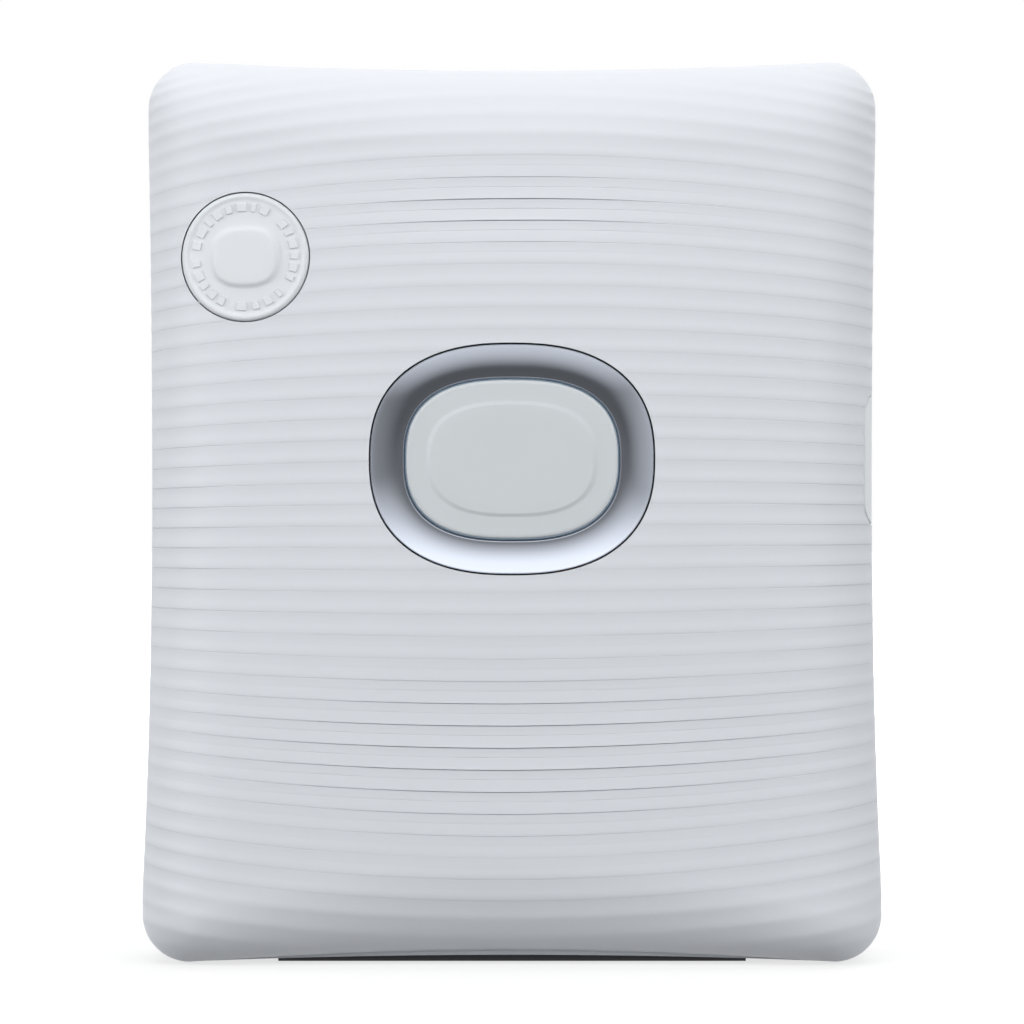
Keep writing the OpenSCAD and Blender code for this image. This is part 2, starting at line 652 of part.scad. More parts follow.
// The film door, its hinge barrel along the left edge and its keeper on the right
keeper_h = 9;
keeper_x1 = door_x1 - 0.6;
keeper_x0 = keeper_x1 - 1.2;
keeper_y0 = door_in_y - 8;
tooth_h = 1.2;
thumb_d = 0.7;
plate_boss_r = 2.4;
plate_post_r = 1.2;
plate_z = chamber_z + plate_rise;
plate_posts_at = [[-14, plate_z], [14, plate_z]];
window_z = chamber_z + chamber_h - window_drop;
module film_door() {
    color([0.83, 0.85, 0.87])
    difference() {
        union() {
            block([barrel_x, door_x1], [door_in_y, back_y], [door_z0, door_z1]);
            // Edge ribs
            difference() {
                block([barrel_x + 2, door_x1], [door_rim_y, door_in_y], [door_z0, door_z1]);
                block([barrel_x + 3.2, door_x1 - 1.2], [door_rim_y - 1, door_in_y],
                    [door_z0 + 1.2, door_z1 - 1.2]);
            }
            rod_z(barrel_x, barrel_y, door_z0, door_z1, barrel_r);
            // The keeper that the latch holds
            block([keeper_x0, keeper_x1], [keeper_y0, door_in_y], [latch_z - keeper_h / 2, latch_z + keeper_h / 2]);
            block([keeper_x1, keeper_x1 + 0.4], [keeper_y0, keeper_y0 + tooth_h],
                [latch_z - keeper_h / 2, latch_z + keeper_h / 2]);
            for (at = plate_posts_at)
                rod_y(at[0], at[1], door_in_y - 1.6, door_in_y, plate_boss_r);
        }
        for (zs = [[door_z0 - 1, door_z0 + pin_reach], [door_z1 - pin_reach, door_z1 + 1]])
            rod_z(barrel_x, barrel_y, zs[0], zs[1], pin_r + running);
        // The hollow for a thumb, beside the latch
        translate([door_x1 - 7, 0, latch_z]) slab_y(back_y - thumb_d, back_y + 1) polygon(oval(3.9, 9.1, 2.4, 40));
        slab_y(door_in_y - 1, back_y + 1)
            plate_y([-window_w / 2, window_w / 2], [window_z - window_h / 2, window_z + window_h / 2], window_h / 2 - 0.1);
        for (at = plate_posts_at)
            rod_y(at[0], at[1], door_in_y - 2, back_y - 0.5, plate_post_r + running);
    }
}
module door_window() {
    color([0.3, 0.32, 0.35, 0.5])
    slab_y(door_in_y + 0.1, back_y - 0.3)
        plate_y([-window_w / 2, window_w / 2], [window_z - window_h / 2, window_z + window_h / 2], window_h / 2 - 0.1);
}
module door_hinge_pins() {
    color([0.75, 0.76, 0.78]) {
        rod_z(barrel_x, barrel_y, opening_z0 - pin_reach, opening_z0 + pin_reach - 0.5, pin_r);
        rod_z(barrel_x, barrel_y, opening_z1 - pin_reach + 0.5, opening_z1 + pin_reach, pin_r);
    }
}
// Foam that keeps light out, glued on the chassis round the chamber
seal_t = 1;
chassis_rim_y = door_rim_y - 1.3;
module door_seal() {
    color([0.1, 0.1, 0.1])
    slab_y(chassis_rim_y, chassis_rim_y + seal_t)
    difference() {
        translate([-side_out, chamber_z - chassis_t]) square([2 * side_out, chamber_h + 2 * chassis_t]);
        translate([-side_in, chamber_z]) square([2 * side_in, chamber_h]);
        translate([side_in - 1, latch_z - keeper_h / 2 - 1]) square([4, keeper_h + 2]);
    }
}

// The plate on the door that presses the film pack forward
plate_w = 52;
plate_h = 30;
plate_t = 1.2;
plate_travel = 1;
plate_y0 = door_in_y - 4.2;
module pressure_plate() {
    color([0.16, 0.16, 0.17])
    union() {
        difference() {
            slab_y(plate_y0, plate_y0 + plate_t)
                plate_y([-plate_w / 2, plate_w / 2], [plate_z - plate_h / 2, plate_z + plate_h / 2], 3);
            block([-9, 9], [plate_y0 - 1, plate_y0 + plate_t + 1], [plate_z - 8, plate_z + 8]);
        }
        for (at = plate_posts_at)
            rod_y(at[0], at[1], plate_y0 + plate_t / 2, back_y - 0.5 - plate_travel - stem_gap, plate_post_r);
    }
}
module plate_springs() {
    bow_r = 22;
    strip_t = 0.25;
    rise = door_in_y - plate_y0 - plate_t;
    half = sqrt(bow_r * bow_r - pow(bow_r - rise + strip_t, 2));
    color([0.75, 0.76, 0.78])
    for (side = [-1, 1])
        translate([side * (plate_w / 2 - 4) - 2, 0, plate_z]) slab_x(0, 4) intersection() {
            translate([plate_y0 + plate_t + bow_r, 0]) difference() {
                circle(r = bow_r, $fn = 160);
                circle(r = bow_r - strip_t, $fn = 160);
            }
            translate([plate_y0 + plate_t - 1, -half]) square([rise + 1, 2 * half]);
        }
}

// The latch: a rocker with its button in the right side and a hook behind the keeper
latch_pin_x = side_out + 3.1;
latch_pin_y = latch_y1 - 2;
latch_lug_t = 2.2;
latch_arm_h = 8;
latch_lugs = [
    [latch_z - latch_arm_h / 2 - near - latch_lug_t, latch_z - latch_arm_h / 2 - near],
    [latch_z + latch_arm_h / 2 + near, latch_z + latch_arm_h / 2 + near + latch_lug_t]
];
hook_x1 = side_out + 3;
hook_x0 = hook_x1 - 1.2;
hook_tip_x = keeper_x1 + 0.8;
hook_y1 = keeper_y0 + tooth_h + 2.2;
latch_skin = 1.6;
latch_steps = 6;
module door_latch() {
    z0 = latch_z - latch_h / 2;
    y_step = (latch_y1 - latch_y0) / latch_steps;
    color([0.88, 0.9, 0.92])
    union() {
        resize([0, 0, 0]) intersection() {
            loft_up([for (j = [0:latch_steps]) let(z = z0 + latch_h * j / latch_steps)
                concat(
                    [for (i = [0:latch_steps]) let(y = latch_y0 + y_step * i) [side_x(y, z) - hair, y, z]],
                    [for (i = [latch_steps:-1:0]) let(y = latch_y0 + y_step * i)
                        [side_x(y, z) - latch_skin, y, z]])]);
            slab_x(waist_w / 2 - 8, body_w) latch_outline(0);
        }
        // The arm runs inwards from the button to the pin, and back to the hook
        difference() {
            union() {
                block([hook_x0, flank(latch_z) - latch_skin / 2], [latch_pin_y - 2.2, latch_pin_y - 0.4],
                    [latch_z - latch_arm_h / 2, latch_z + latch_arm_h / 2]);
                rod_z(latch_pin_x, latch_pin_y, latch_z - latch_arm_h / 2, latch_z + latch_arm_h / 2, 1.6);
                block([hook_x0, hook_x1], [latch_pin_y - 1, hook_y1],
                    [latch_z - latch_arm_h / 2, latch_z + latch_arm_h / 2]);
            }
            rod_z(latch_pin_x, latch_pin_y, latch_z - latch_h, latch_z + latch_h, pin_r + running);
        }
        block([hook_tip_x, hook_x0 + 0.2], [hook_y1 - 1.5, hook_y1],
            [latch_z - latch_arm_h / 2 + 0.5, latch_z + latch_arm_h / 2 - 0.5]);
    }
}
// A solid through rings stacked upwards, each turning anticlockwise seen from above
module loft_up(rings) {
    n = len(rings[0]);
    m = len(rings);
    sides = [for (j = [0:m - 2], i = [0:n - 1])
        let(a = j * n + i, b = j * n + (i + 1) % n) each [[a, b + n, b], [a, a + n, b + n]]];
    polyhedron([for (ring = rings) each ring],
        concat([[for (i = [0:n - 1]) i]], sides, [[for (i = [n - 1:-1:0]) (m - 1) * n + i]]));
}
module latch_pin() {
    color([0.75, 0.76, 0.78])
    rod_z(latch_pin_x, latch_pin_y, latch_lugs[0][0] + 0.6, latch_lugs[1][1] - 0.6, pin_r);
}
// A bent strip between the chamber's wall and the inside of the latch button
module latch_spring() {
    strip_t = 0.25;
    reach_y = latch_y0 + 3;
    reach_x = side_x(reach_y, latch_z) - latch_skin - near - strip_t;
    color([0.75, 0.76, 0.78])
    translate([0, 0, latch_z - 2]) linear_extrude(4) polygon([
        [side_out, chassis_back_y], [side_out + strip_t, chassis_back_y],
        [side_out + strip_t, chassis_front_y + strip_t], [reach_x, reach_y], [reach_x, reach_y - strip_t * 1.5],
        [side_out, chassis_front_y]]);
}

// The chassis: the film chamber's walls, the roller cheeks and the gear cheek
cheek_z1 = roller_z + 4.4;
bush_r = 2.6;
lens_z = chamber_z + chamber_h - 2.4;
lens_w = 62;
motor_y = chassis_front_y - 0.4 - motor_d / 2;
motor_z = lens_z - 9.6;
motor_x1 = side_in - 0.6;
motor_boss_r = 2;
claw_slot_z = [chamber_z + 4, chamber_z + 16];
module chassis() {
    color([0.2, 0.2, 0.22])
    difference() {
        union() {
            // Front wall of the chamber
            block([-side_out, side_out], [chassis_front_y, chassis_back_y],
                [chamber_z - chassis_t, roller_z - roller_r - 0.5]);
            // Side walls, which rise into the roller cheeks
            for (x0 = [-side_out, side_in]) {
                block([x0, x0 + chassis_t], [chassis_front_y, chassis_rim_y],
                    [chamber_z - chassis_t, chamber_z + chamber_h + chassis_t]);
                block([x0, x0 + chassis_t], [chassis_front_y - 3.4, rear_roller_y + 4.4],
                    [chamber_z + chamber_h - 4, cheek_z1]);
            }
            // The gear cheek reaches forward past the motor
            block([side_in, side_out], [motor_y - 2.6, chassis_front_y + 1], [motor_z - 5.5, roller_z]);
            // Floor and roof of the chamber
            block([-side_out, side_out], [chassis_front_y, chassis_rim_y], [chamber_z - chassis_t, chamber_z]);
            block([-side_out, side_out], [film_y + 2.4, chassis_rim_y],
                [chamber_z + chamber_h, chamber_z + chamber_h + chassis_t]);
            // Ears for the screws into the case's posts
            for (at = chassis_screws_at) {
                rod_y(at[0], at[1], chassis_front_y, chassis_back_y, ear_r);
                block([min(sign(at[0]) * side_in, at[0]), max(sign(at[0]) * side_in, at[0])],
                    [chassis_front_y, chassis_back_y], [at[1] - ear_r, at[1] + ear_r]);
            }
            // Bosses under the main board
            for (at = board_screws_at)
                rod_y(at[0], at[1], board_back_y, chassis_front_y + 0.5, 2);
            // Cradle ribs of the motor
            for (x = [motor_x1 - motor_l + 1, motor_x1 - 3])
                block([x, x + 1.5], [motor_y + motor_d / 2, chassis_front_y + 0.5], [motor_z - 4, motor_z + 4]);
        }
        // The window of the exposure lens
        block([-lens_w / 2 - hair, lens_w / 2 + hair], [chassis_front_y - 1, chassis_back_y + 1],
            [lens_z - 1, lens_z + 1]);
        // Seats of the roller bushes
        for (y = [front_roller_y, rear_roller_y])
            rod_x(-side_out - 1, side_out + 1, y, roller_z, bush_r);
        // The motor's nose and the gear posts
        rod_x(side_in - 1, side_out + 1, motor_y, motor_z, motor_boss_r + hair);
        for (at = [idler_at, compound_at])
            rod_x(side_in - 1, side_out + 1, at[0], at[1], post_r);
        for (at = chassis_screws_at)
            rod_y(at[0], at[1], chassis_front_y - 1, chassis_back_y + 1, screw_r + 0.1);
        for (at = board_screws_at)
            rod_y(at[0], at[1], board_back_y - 1, chassis_back_y - 0.5, board_screw_r);
        // Room for the door's keeper and the latch's hook
        block([side_in - 1, side_out + 1], [keeper_y0 - 1.2, chassis_rim_y + 1],
            [latch_z - keeper_h / 2 - 1, latch_z + keeper_h / 2 + 1]);
        // The slot of the pick claw
        block([-side_out - 1, -side_in + 1], [claw_y - 1.6, claw_y + 1.6], claw_slot_z);
    }
}

// The head that writes the picture, a line of light across the film
module exposure_head() {
    color([0.14, 0.14, 0.15])
    difference() {
        union() {
            block([-lens_w / 2 - 2, lens_w / 2 + 2], [chassis_front_y - 3.2, chassis_front_y],
                [lens_z - 2.4, lens_z + 2.4]);
            for (side = [-1, 1])
                block([side * (lens_w / 2 + 1) - 1, side * (lens_w / 2 + 1) + 1],
                    [chassis_front_y - 1.4, chassis_front_y], [lens_z - 3.4, lens_z + 3.4]);
        }
        block([-lens_w / 2, lens_w / 2], [chassis_front_y - 1.8, chassis_front_y + 1], [lens_z - 0.8, lens_z + 0.8]);
    }
}
module exposure_lens() {
    color([0.7, 0.8, 0.9, 0.5])
    block([-lens_w / 2, lens_w / 2], [chassis_front_y - 1.8, chassis_back_y - 0.2], [lens_z - 0.8, lens_z + 0.8]);
}

// The feed rollers
rubber_x = side_in - 0.8;
gear_x0 = side_out + 0.4;
gear_gap = 0.2;
shaft_x0 = -side_out - 1;
shaft_x1 = gear_x0 + gear_t + near;
module roller_shaft(y) {
    color([0.75, 0.76, 0.78]) rod_x(shaft_x0, shaft_x1, y, roller_z, shaft_r);
}
module roller_rubber(y) {
    color([0.2, 0.2, 0.21])
    difference() {
        rod_x(-rubber_x, rubber_x, y, roller_z, roller_r);
        rod_x(-rubber_x - 1, rubber_x + 1, y, roller_z, shaft_r);
    }
}
module front_roller_shaft() { roller_shaft(front_roller_y); }
module rear_roller_shaft() { roller_shaft(rear_roller_y); }
module front_roller_rubber() { roller_rubber(front_roller_y); }
module rear_roller_rubber() { roller_rubber(rear_roller_y); }
module roller_bushes() {
    color([0.9, 0.88, 0.82])
    for (x0 = [-side_out, side_in], y = [front_roller_y, rear_roller_y])
        difference() {
            rod_x(x0, x0 + chassis_t, y, roller_z, bush_r);
            rod_x(x0 - 1, x0 + chassis_t + 1, y, roller_z, shaft_r + running);
        }
}

// The gear train: pinion, compound gear, idler, front roller, rear roller
roller_teeth = round(roller_pitch / gear_m);
idler_teeth = 16;
small_teeth = 12;
big_teeth = 26;
pinion_teeth = 8;
backlash = 0.08;
function mesh_gap(a, b) = gear_m * (a + b) / 2 + backlash;
function toward(from, reach, angle) = [from[0] + reach * cos(angle), from[1] + reach * sin(angle)];
function angle_to(from, to) = atan2(to[1] - from[1], to[0] - from[0]);
// The corner of a triangle with sides r0 from the first point and r1 from the second
function third(p, q, r0, r1) =
    let(d = norm(q - p), a = (r0 * r0 - r1 * r1 + d * d) / (2 * d), h = sqrt(r0 * r0 - a * a), e = (q - p) / d)
    [p[0] + a * e[0] + h * e[1], p[1] + a * e[1] - h * e[0]];
front_at = [front_roller_y, roller_z];
rear_at = [rear_roller_y, roller_z];
pinion_at = [motor_y, motor_z];
idler_at = toward(front_at, mesh_gap(roller_teeth, idler_teeth), 250);
compound_at = third(pinion_at, idler_at, mesh_gap(pinion_teeth, big_teeth), mesh_gap(small_teeth, idler_teeth));
// The screws that hold the chassis to posts of the rear case, clear of the latch's lugs and the gears
gear_low_z = compound_at[1] - gear_m * (big_teeth / 2 + 0.8);
chassis_screws_at = [
    [-ear_x, chamber_z + 12], [ear_x, chamber_z + 12],
    [-ear_x, chamber_z + 70], [ear_x, (latch_lugs[1][1] + gear_low_z) / 2]
];
// The turn that sets a gear's teeth in the gaps of the gear that it meshes with
function in_mesh(from, to, from_teeth, to_teeth, from_turn) =
    let(a = angle_to(from, to)) a + 180 - 180 / to_teeth + (a - from_turn) * from_teeth / to_teeth;
front_turn = 0;
rear_turn = in_mesh(front_at, rear_at, roller_teeth, roller_teeth, front_turn);
idler_turn = in_mesh(front_at, idler_at, roller_teeth, idler_teeth, front_turn);
small_turn = in_mesh(idler_at, compound_at, idler_teeth, small_teeth, idler_turn);
pinion_turn = in_mesh(compound_at, pinion_at, big_teeth, pinion_teeth, 0);
function tooth(i, teeth) =
    let(pitch_r = gear_m * teeth / 2, share = 360 / teeth,
        root = pitch_r - 1.15 * gear_m, tip = pitch_r + 0.8 * gear_m, a = i * share)
    [[root, a - 0.32 * share], [pitch_r, a - 0.21 * share], [tip, a - 0.1 * share],
        [tip, a + 0.1 * share], [pitch_r, a + 0.21 * share], [root, a + 0.32 * share]];
module gear(at, teeth, turn, x0, x1) {
    translate([0, at[0], at[1]]) slab_x(x0, x1) rotate(turn)
        polygon([for (i = [0:teeth - 1], p = tooth(i, teeth)) [p[0] * cos(p[1]), p[0] * sin(p[1])]]);
}
module front_roller_gear() {
    color([0.93, 0.92, 0.88])
    difference() {
        gear(front_at, roller_teeth, front_turn, gear_x0, gear_x0 + gear_t);
        rod_x(gear_x0 - 1, gear_x0 + gear_t + 1, front_at[0], front_at[1], shaft_r);
    }
}
module rear_roller_gear() {
    color([0.93, 0.92, 0.88])
    difference() {
        gear(rear_at, roller_teeth, rear_turn, gear_x0, gear_x0 + gear_t);
        rod_x(gear_x0 - 1, gear_x0 + gear_t + 1, rear_at[0], rear_at[1], shaft_r);
    }
}
module idler_gear() {
    color([0.93, 0.92, 0.88])
    difference() {
        gear(idler_at, idler_teeth, idler_turn, gear_x0, gear_x0 + gear_t);
        rod_x(gear_x0 - 1, gear_x0 + gear_t + 1, idler_at[0], idler_at[1], post_r + running);
    }
}
big_x0 = gear_x0 + gear_t + gear_gap;
module compound_gear() {
    color([0.93, 0.92, 0.88])
    difference() {
        union() {
            gear(compound_at, small_teeth, small_turn, gear_x0, big_x0);
            gear(compound_at, big_teeth, 0, big_x0, big_x0 + gear_t);
        }
        rod_x(gear_x0 - 1, big_x0 + gear_t + 1, compound_at[0], compound_at[1], post_r + running);
    }
}
module gear_posts() {
    head_r = post_r + 0.5;
    head_t = 0.4;
    color([0.75, 0.76, 0.78]) {
        rod_x(side_in, gear_x0 + gear_t + hair, idler_at[0], idler_at[1], post_r);
        rod_x(side_in, big_x0 + gear_t + hair, compound_at[0], compound_at[1], post_r);
        rod_x(big_x0 + gear_t + hair, big_x0 + gear_t + hair + head_t, compound_at[0], compound_at[1], head_r);
    }
}

// The motor lies behind the front cover, its shaft through the gear cheek
motor_shaft_r = 0.6;
module motor() {
    color([0.7, 0.71, 0.73])
    union() {
        intersection() {
            rod_x(motor_x1 - motor_l, motor_x1, motor_y, motor_z, motor_w / 2);
            block([motor_x1 - motor_l - 1, motor_x1 + 1], [motor_y - motor_d / 2, motor_y + motor_d / 2],
                [motor_z - motor_w, motor_z + motor_w]);
        }
        rod_x(motor_x1 - 0.5, side_out - 0.2, motor_y, motor_z, motor_boss_r);
        rod_x(motor_x1 - motor_l - 0.8, motor_x1 - motor_l + 1, motor_y, motor_z, motor_boss_r);
    }
}
module motor_pinion() {
    color([0.8, 0.68, 0.35])
    union() {
        gear(pinion_at, pinion_teeth, pinion_turn, big_x0, big_x0 + gear_t);
        rod_x(side_out + hair, big_x0 + gear_t, motor_y, motor_z, motor_shaft_r + 0.3);
    }
}

// The claw that pushes the top sheet out of the pack
claw_y = film_y;
claw_x1 = -side_out - 0.3;
claw_x0 = claw_x1 - 0.8;
claw_travel = 4;
claw_top_z = chamber_z + chamber_h - 12;
claw_pin_z = [chamber_z + 36, claw_top_z - 6];
claw_pin_r = 0.9;
module pick_claw() {
    color([0.72, 0.73, 0.75])
    difference() {
        union() {
            block([claw_x0, claw_x1], [claw_y - 1.2, claw_y + 1.2], [claw_slot_z[0] + 1.2, claw_top_z]);
            block([claw_x0, -side_in - 0.3], [claw_y - 1.2, claw_y + 1.2], [claw_slot_z[0] + 1.2, claw_slot_z[0] + 3.6]);
        }
        for (z = claw_pin_z)
            block([claw_x0 - 1, claw_x1 + 1], [claw_y - claw_pin_r - 0.1, claw_y + claw_pin_r + 0.1],
                [z - claw_pin_r - claw_travel - 0.4, z + claw_pin_r + 0.4]);
    }
}
module claw_pins() {
    color([0.75, 0.76, 0.78])
    for (z = claw_pin_z) {
        rod_x(claw_x0 - 0.3, -side_out, claw_y, z, claw_pin_r - 0.15);
        rod_x(claw_x0 - 0.8, claw_x0 - 0.2, claw_y, z, claw_pin_r + 0.7);
    }
}
// A close-wound wire spring beside the claw
module claw_spring() {
    wire_r = 0.22;
    coil_r = 1.1;
    turns = 9;
    steps = 8;
    sides = 6;
    z0 = claw_pin_z[0] + 14;
    rise = 0.9;
    spring_y = claw_y + 3.2;
    spring_x = claw_x1 - coil_r;
    count = turns * steps;
    color([0.75, 0.76, 0.78])
    polyhedron(
        [for (i = [0:count], j = [0:sides - 1])
            let(a = 360 * i / steps, b = 360 * j / sides, r = coil_r + wire_r * cos(b))
            [spring_x + r * cos(a), spring_y + r * sin(a), z0 + rise * i / steps + wire_r * sin(b)]],
        concat(
            [[for (j = [0:sides - 1]) j]],
            [for (i = [0:count - 1], j = [0:sides - 1])
                let(p = i * sides + j, q = i * sides + (j + 1) % sides)
                each [[p, p + sides, q + sides], [p, q + sides, q]]],
            [[for (j = [sides - 1:-1:0]) count * sides + j]]));
}

// The trim of the exit slot and its felt strips
module exit_bezel() {
    z0 = body_h - top_dip - wall - 0.6;
    z1 = body_h - top_dip - 0.4;
    color([0.3, 0.31, 0.33])
    difference() {
        block([-exit_w / 2, exit_w / 2], [exit_y0, exit_y1], [z0, z1]);
        block([-exit_w / 2 + bezel_t, exit_w / 2 - bezel_t], [exit_y0 + bezel_t, exit_y1 - bezel_t], [z0 - 1, z1 + 1]);
    }
}
module exit_seals() {
    felt = 0.25;
    z0 = body_h - top_dip - wall - 0.4;
    color([0.08, 0.08, 0.08])
    for (y = [exit_y0 + bezel_t, exit_y1 - bezel_t - felt])
        block([-exit_w / 2 + bezel_t + 0.2, exit_w / 2 - bezel_t - 0.2], [y, y + felt], [z0, z0 + 1.6]);
}

// The main board and what is on it
board_x = side_in - 1.5;
board_z0 = chamber_z + 2;
board_z1 = motor_z - motor_w / 2 - 2;
board_h = board_z1 - board_z0;
board_screws_at = [for (x = [-board_x + 3, board_x - 3], z = [board_z0 + 3, board_z1 - 3]) [x, z]];
module main_board() {
    color([0.1, 0.35, 0.2])
    difference() {
        block([-board_x, board_x], [board_front_y, board_back_y], [board_z0, board_z1]);
        for (at = board_screws_at)
            rod_y(at[0], at[1], board_front_y - 1, board_back_y + 1, board_screw_r + 0.1);
    }
}
// Each chip: its place in from the board's right edge, its share of the board's height, and its size
chips = [[14, 0.648, 7, 7, 0.9], [7, 0.789, 4, 6, 1.1], [70, 0.62, 5, 5, 0.8], [14, 0.493, 8, 3, 1],
    [7, 0.563, 3, 3, 1.2]];
module board_chips() {
    color([0.1, 0.1, 0.11])
    for (c = chips)
        translate([board_x - c[0], board_front_y - c[4], board_z0 + c[1] * board_h]) cube([c[2], c[4], c[3]]);
}
module shield_can() {
    tin = 0.3;
    xs = [14 - board_x, -2];
    zs = [board_z0 + 0.563 * board_h, board_z0 + 0.817 * board_h];
    color([0.75, 0.76, 0.78])
    difference() {
        block(xs, [board_front_y - 1.6, board_front_y], zs);
        block([xs[0] + tin, xs[1] - tin], [board_front_y - 1.6 + tin, board_front_y + 1], [zs[0] + tin, zs[1] - tin]);
    }
}
tape_t = 0.6;
battery_z0 = board_z0 + 1;
battery_h = battery_share * board_h;
module battery() {
    r = 1.2;
    color([0.55, 0.57, 0.6])
    slab_y(board_front_y - tape_t - battery_t, board_front_y - tape_t)
        plate_y([-battery_w / 2, battery_w / 2], [battery_z0, battery_z0 + battery_h], r);
}
module battery_tape() {
    color([0.1, 0.1, 0.1])
    block([-battery_w / 2 + 6, battery_w / 2 - 6], [board_front_y - tape_t, board_front_y],
        [battery_z0 + 4, battery_z0 + battery_h - 4]);
}
// A flat cable from the main board to the switch board
module ribbon_cable() {
    film_t = 0.25;
    y0 = board_front_y;
    y1 = switch_back_y;
    z0 = dish_z - 16.5;
    color([0.8, 0.55, 0.25])
    slab_x(6, 12) polygon([
        [y0 - film_t, z0], [y0, z0], [y0, z0 + 4 + film_t], [y1 + film_t, z0 + 4 + film_t], [y1 + film_t, z0 + 9],
        [y1, z0 + 9], [y1, z0 + 4], [y0 - film_t, z0 + 4]]);
}

// The charging socket, its tongue and its small board
module usb_port() {
    color([0.78, 0.79, 0.8])
    difference() {
        slab_x(usb_x0, usb_x0 + usb_l)
            plate_y([usb_y - usb_d / 2, usb_y + usb_d / 2], [usb_z - usb_w / 2, usb_z + usb_w / 2], usb_d / 2 - 0.1);
        slab_x(usb_x0 - 1, usb_x0 + usb_l - 0.8)
            plate_y([usb_y - usb_d / 2 + usb_wall, usb_y + usb_d / 2 - usb_wall],
                [usb_z - usb_w / 2 + usb_wall, usb_z + usb_w / 2 - usb_wall], usb_d / 2 - usb_wall - 0.1);
    }
}
module usb_tongue() {
    color([0.1, 0.1, 0.11])
    block([usb_x0 + 1, usb_x0 + usb_l - 0.8], [usb_y - 0.35, usb_y + 0.35], [usb_z - 3.2, usb_z + 3.2]);
}
module usb_board() {
    color([0.1, 0.35, 0.2])
    block([usb_x0 + 2.6, -side_out], [usb_board_y, usb_board_y + board_t], [usb_z - 8, usb_z + 8]);
}

// Screws: a head with a cross recess and a plain shank
module screw(at, head_y, tip_y, r, head_r, head_t) {
    way = head_y > tip_y ? 1 : -1;
    low = min(head_y, tip_y);
    difference() {
        union() {
            rod_y(at[0], at[1], low, max(head_y, tip_y), r);
            rod_y(at[0], at[1], min(head_y, head_y + way * head_t), max(head_y, head_y + way * head_t), head_r);
        }
        for (turn = [0, 90])
            translate([at[0], head_y + way * head_t, at[1]]) rotate([0, turn, 0])
                block([-head_r * 0.6, head_r * 0.6], [-head_t * 0.5, head_t * 0.5], [-0.2, 0.2]);
    }
}
module case_screws() {
    color([0.3, 0.3, 0.32])
    for (at = case_screws_at) screw(at, case_head_y, case_tip_y, screw_r, screw_head_r, screw_head_t);
}
module chassis_screws() {
    color([0.3, 0.3, 0.32])
    for (at = chassis_screws_at)
        screw(at, chassis_front_y, chassis_back_y + 4, screw_r, screw_head_r, screw_head_t);
}
module board_screws() {
    color([0.3, 0.3, 0.32]) {
        for (at = board_screws_at)
            screw(at, board_front_y, chassis_front_y + 0.5, board_screw_r, 1.3, 0.8);
        for (at = switch_bosses_at)
            screw(at, switch_back_y, switch_front_y - 2, board_screw_r, 1.3, 0.8);
    }
}

front_cover();
rear_case();
foot_strip();
dish_ring();
light_guide();
power_button();
power_button_dome();
function_button();
function_button_dome();
switch_board();
tact_switches();
status_leds();
film_door();
door_window();
door_hinge_pins();
door_seal();
pressure_plate();
plate_springs();
door_latch();
latch_pin();
latch_spring();
chassis();
exposure_head();
exposure_lens();
front_roller_shaft();
front_roller_rubber();
front_roller_gear();
rear_roller_shaft();
rear_roller_rubber();
rear_roller_gear();
roller_bushes();
idler_gear();
compound_gear();
gear_posts();
motor();
motor_pinion();
pick_claw();
claw_spring();
claw_pins();
exit_bezel();
exit_seals();
main_board();
board_chips();
shield_can();
battery();
battery_tape();
ribbon_cable();
usb_port();
usb_tongue();
usb_board();
case_screws();
chassis_screws();
board_screws();
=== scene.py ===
import json
import math

import bpy
import numpy as np
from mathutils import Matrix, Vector


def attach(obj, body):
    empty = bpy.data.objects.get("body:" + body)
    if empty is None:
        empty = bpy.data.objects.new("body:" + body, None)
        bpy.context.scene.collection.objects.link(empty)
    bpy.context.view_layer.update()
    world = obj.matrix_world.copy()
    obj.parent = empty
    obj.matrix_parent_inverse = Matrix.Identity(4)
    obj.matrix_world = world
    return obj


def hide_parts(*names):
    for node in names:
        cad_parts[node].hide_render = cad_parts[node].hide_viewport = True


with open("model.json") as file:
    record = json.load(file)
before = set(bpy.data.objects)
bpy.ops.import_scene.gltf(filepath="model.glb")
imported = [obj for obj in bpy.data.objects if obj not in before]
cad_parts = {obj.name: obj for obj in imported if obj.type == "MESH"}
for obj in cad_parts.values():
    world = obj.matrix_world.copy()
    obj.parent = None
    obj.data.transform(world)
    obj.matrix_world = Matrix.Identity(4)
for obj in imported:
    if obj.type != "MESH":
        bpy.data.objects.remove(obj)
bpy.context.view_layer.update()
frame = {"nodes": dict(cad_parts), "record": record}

# ---------------------------------------------------------------------------------------------
# The studio: a pale floor, a white surround and wide soft lamps in front, above, at the sides and
# behind. Metal mirrors a surround that is bright above and below and dim round the camera, which
# looks level at the middle of the front.
# ---------------------------------------------------------------------------------------------
scene = bpy.context.scene
scene.view_settings.view_transform = "Standard"
middle_height = 0.0615
camera_distance = 0.6
camera_lens = 153.2

camera_data = bpy.data.cameras.new("camera")
camera_data.lens = camera_lens
camera_data.sensor_width = 36
camera_data.clip_start = 0.01
camera = bpy.data.objects.new("camera", camera_data)
scene.collection.objects.link(camera)
camera.location = (0, -camera_distance, middle_height)
camera.rotation_euler = (math.radians(90), 0, 0)
scene.camera = camera


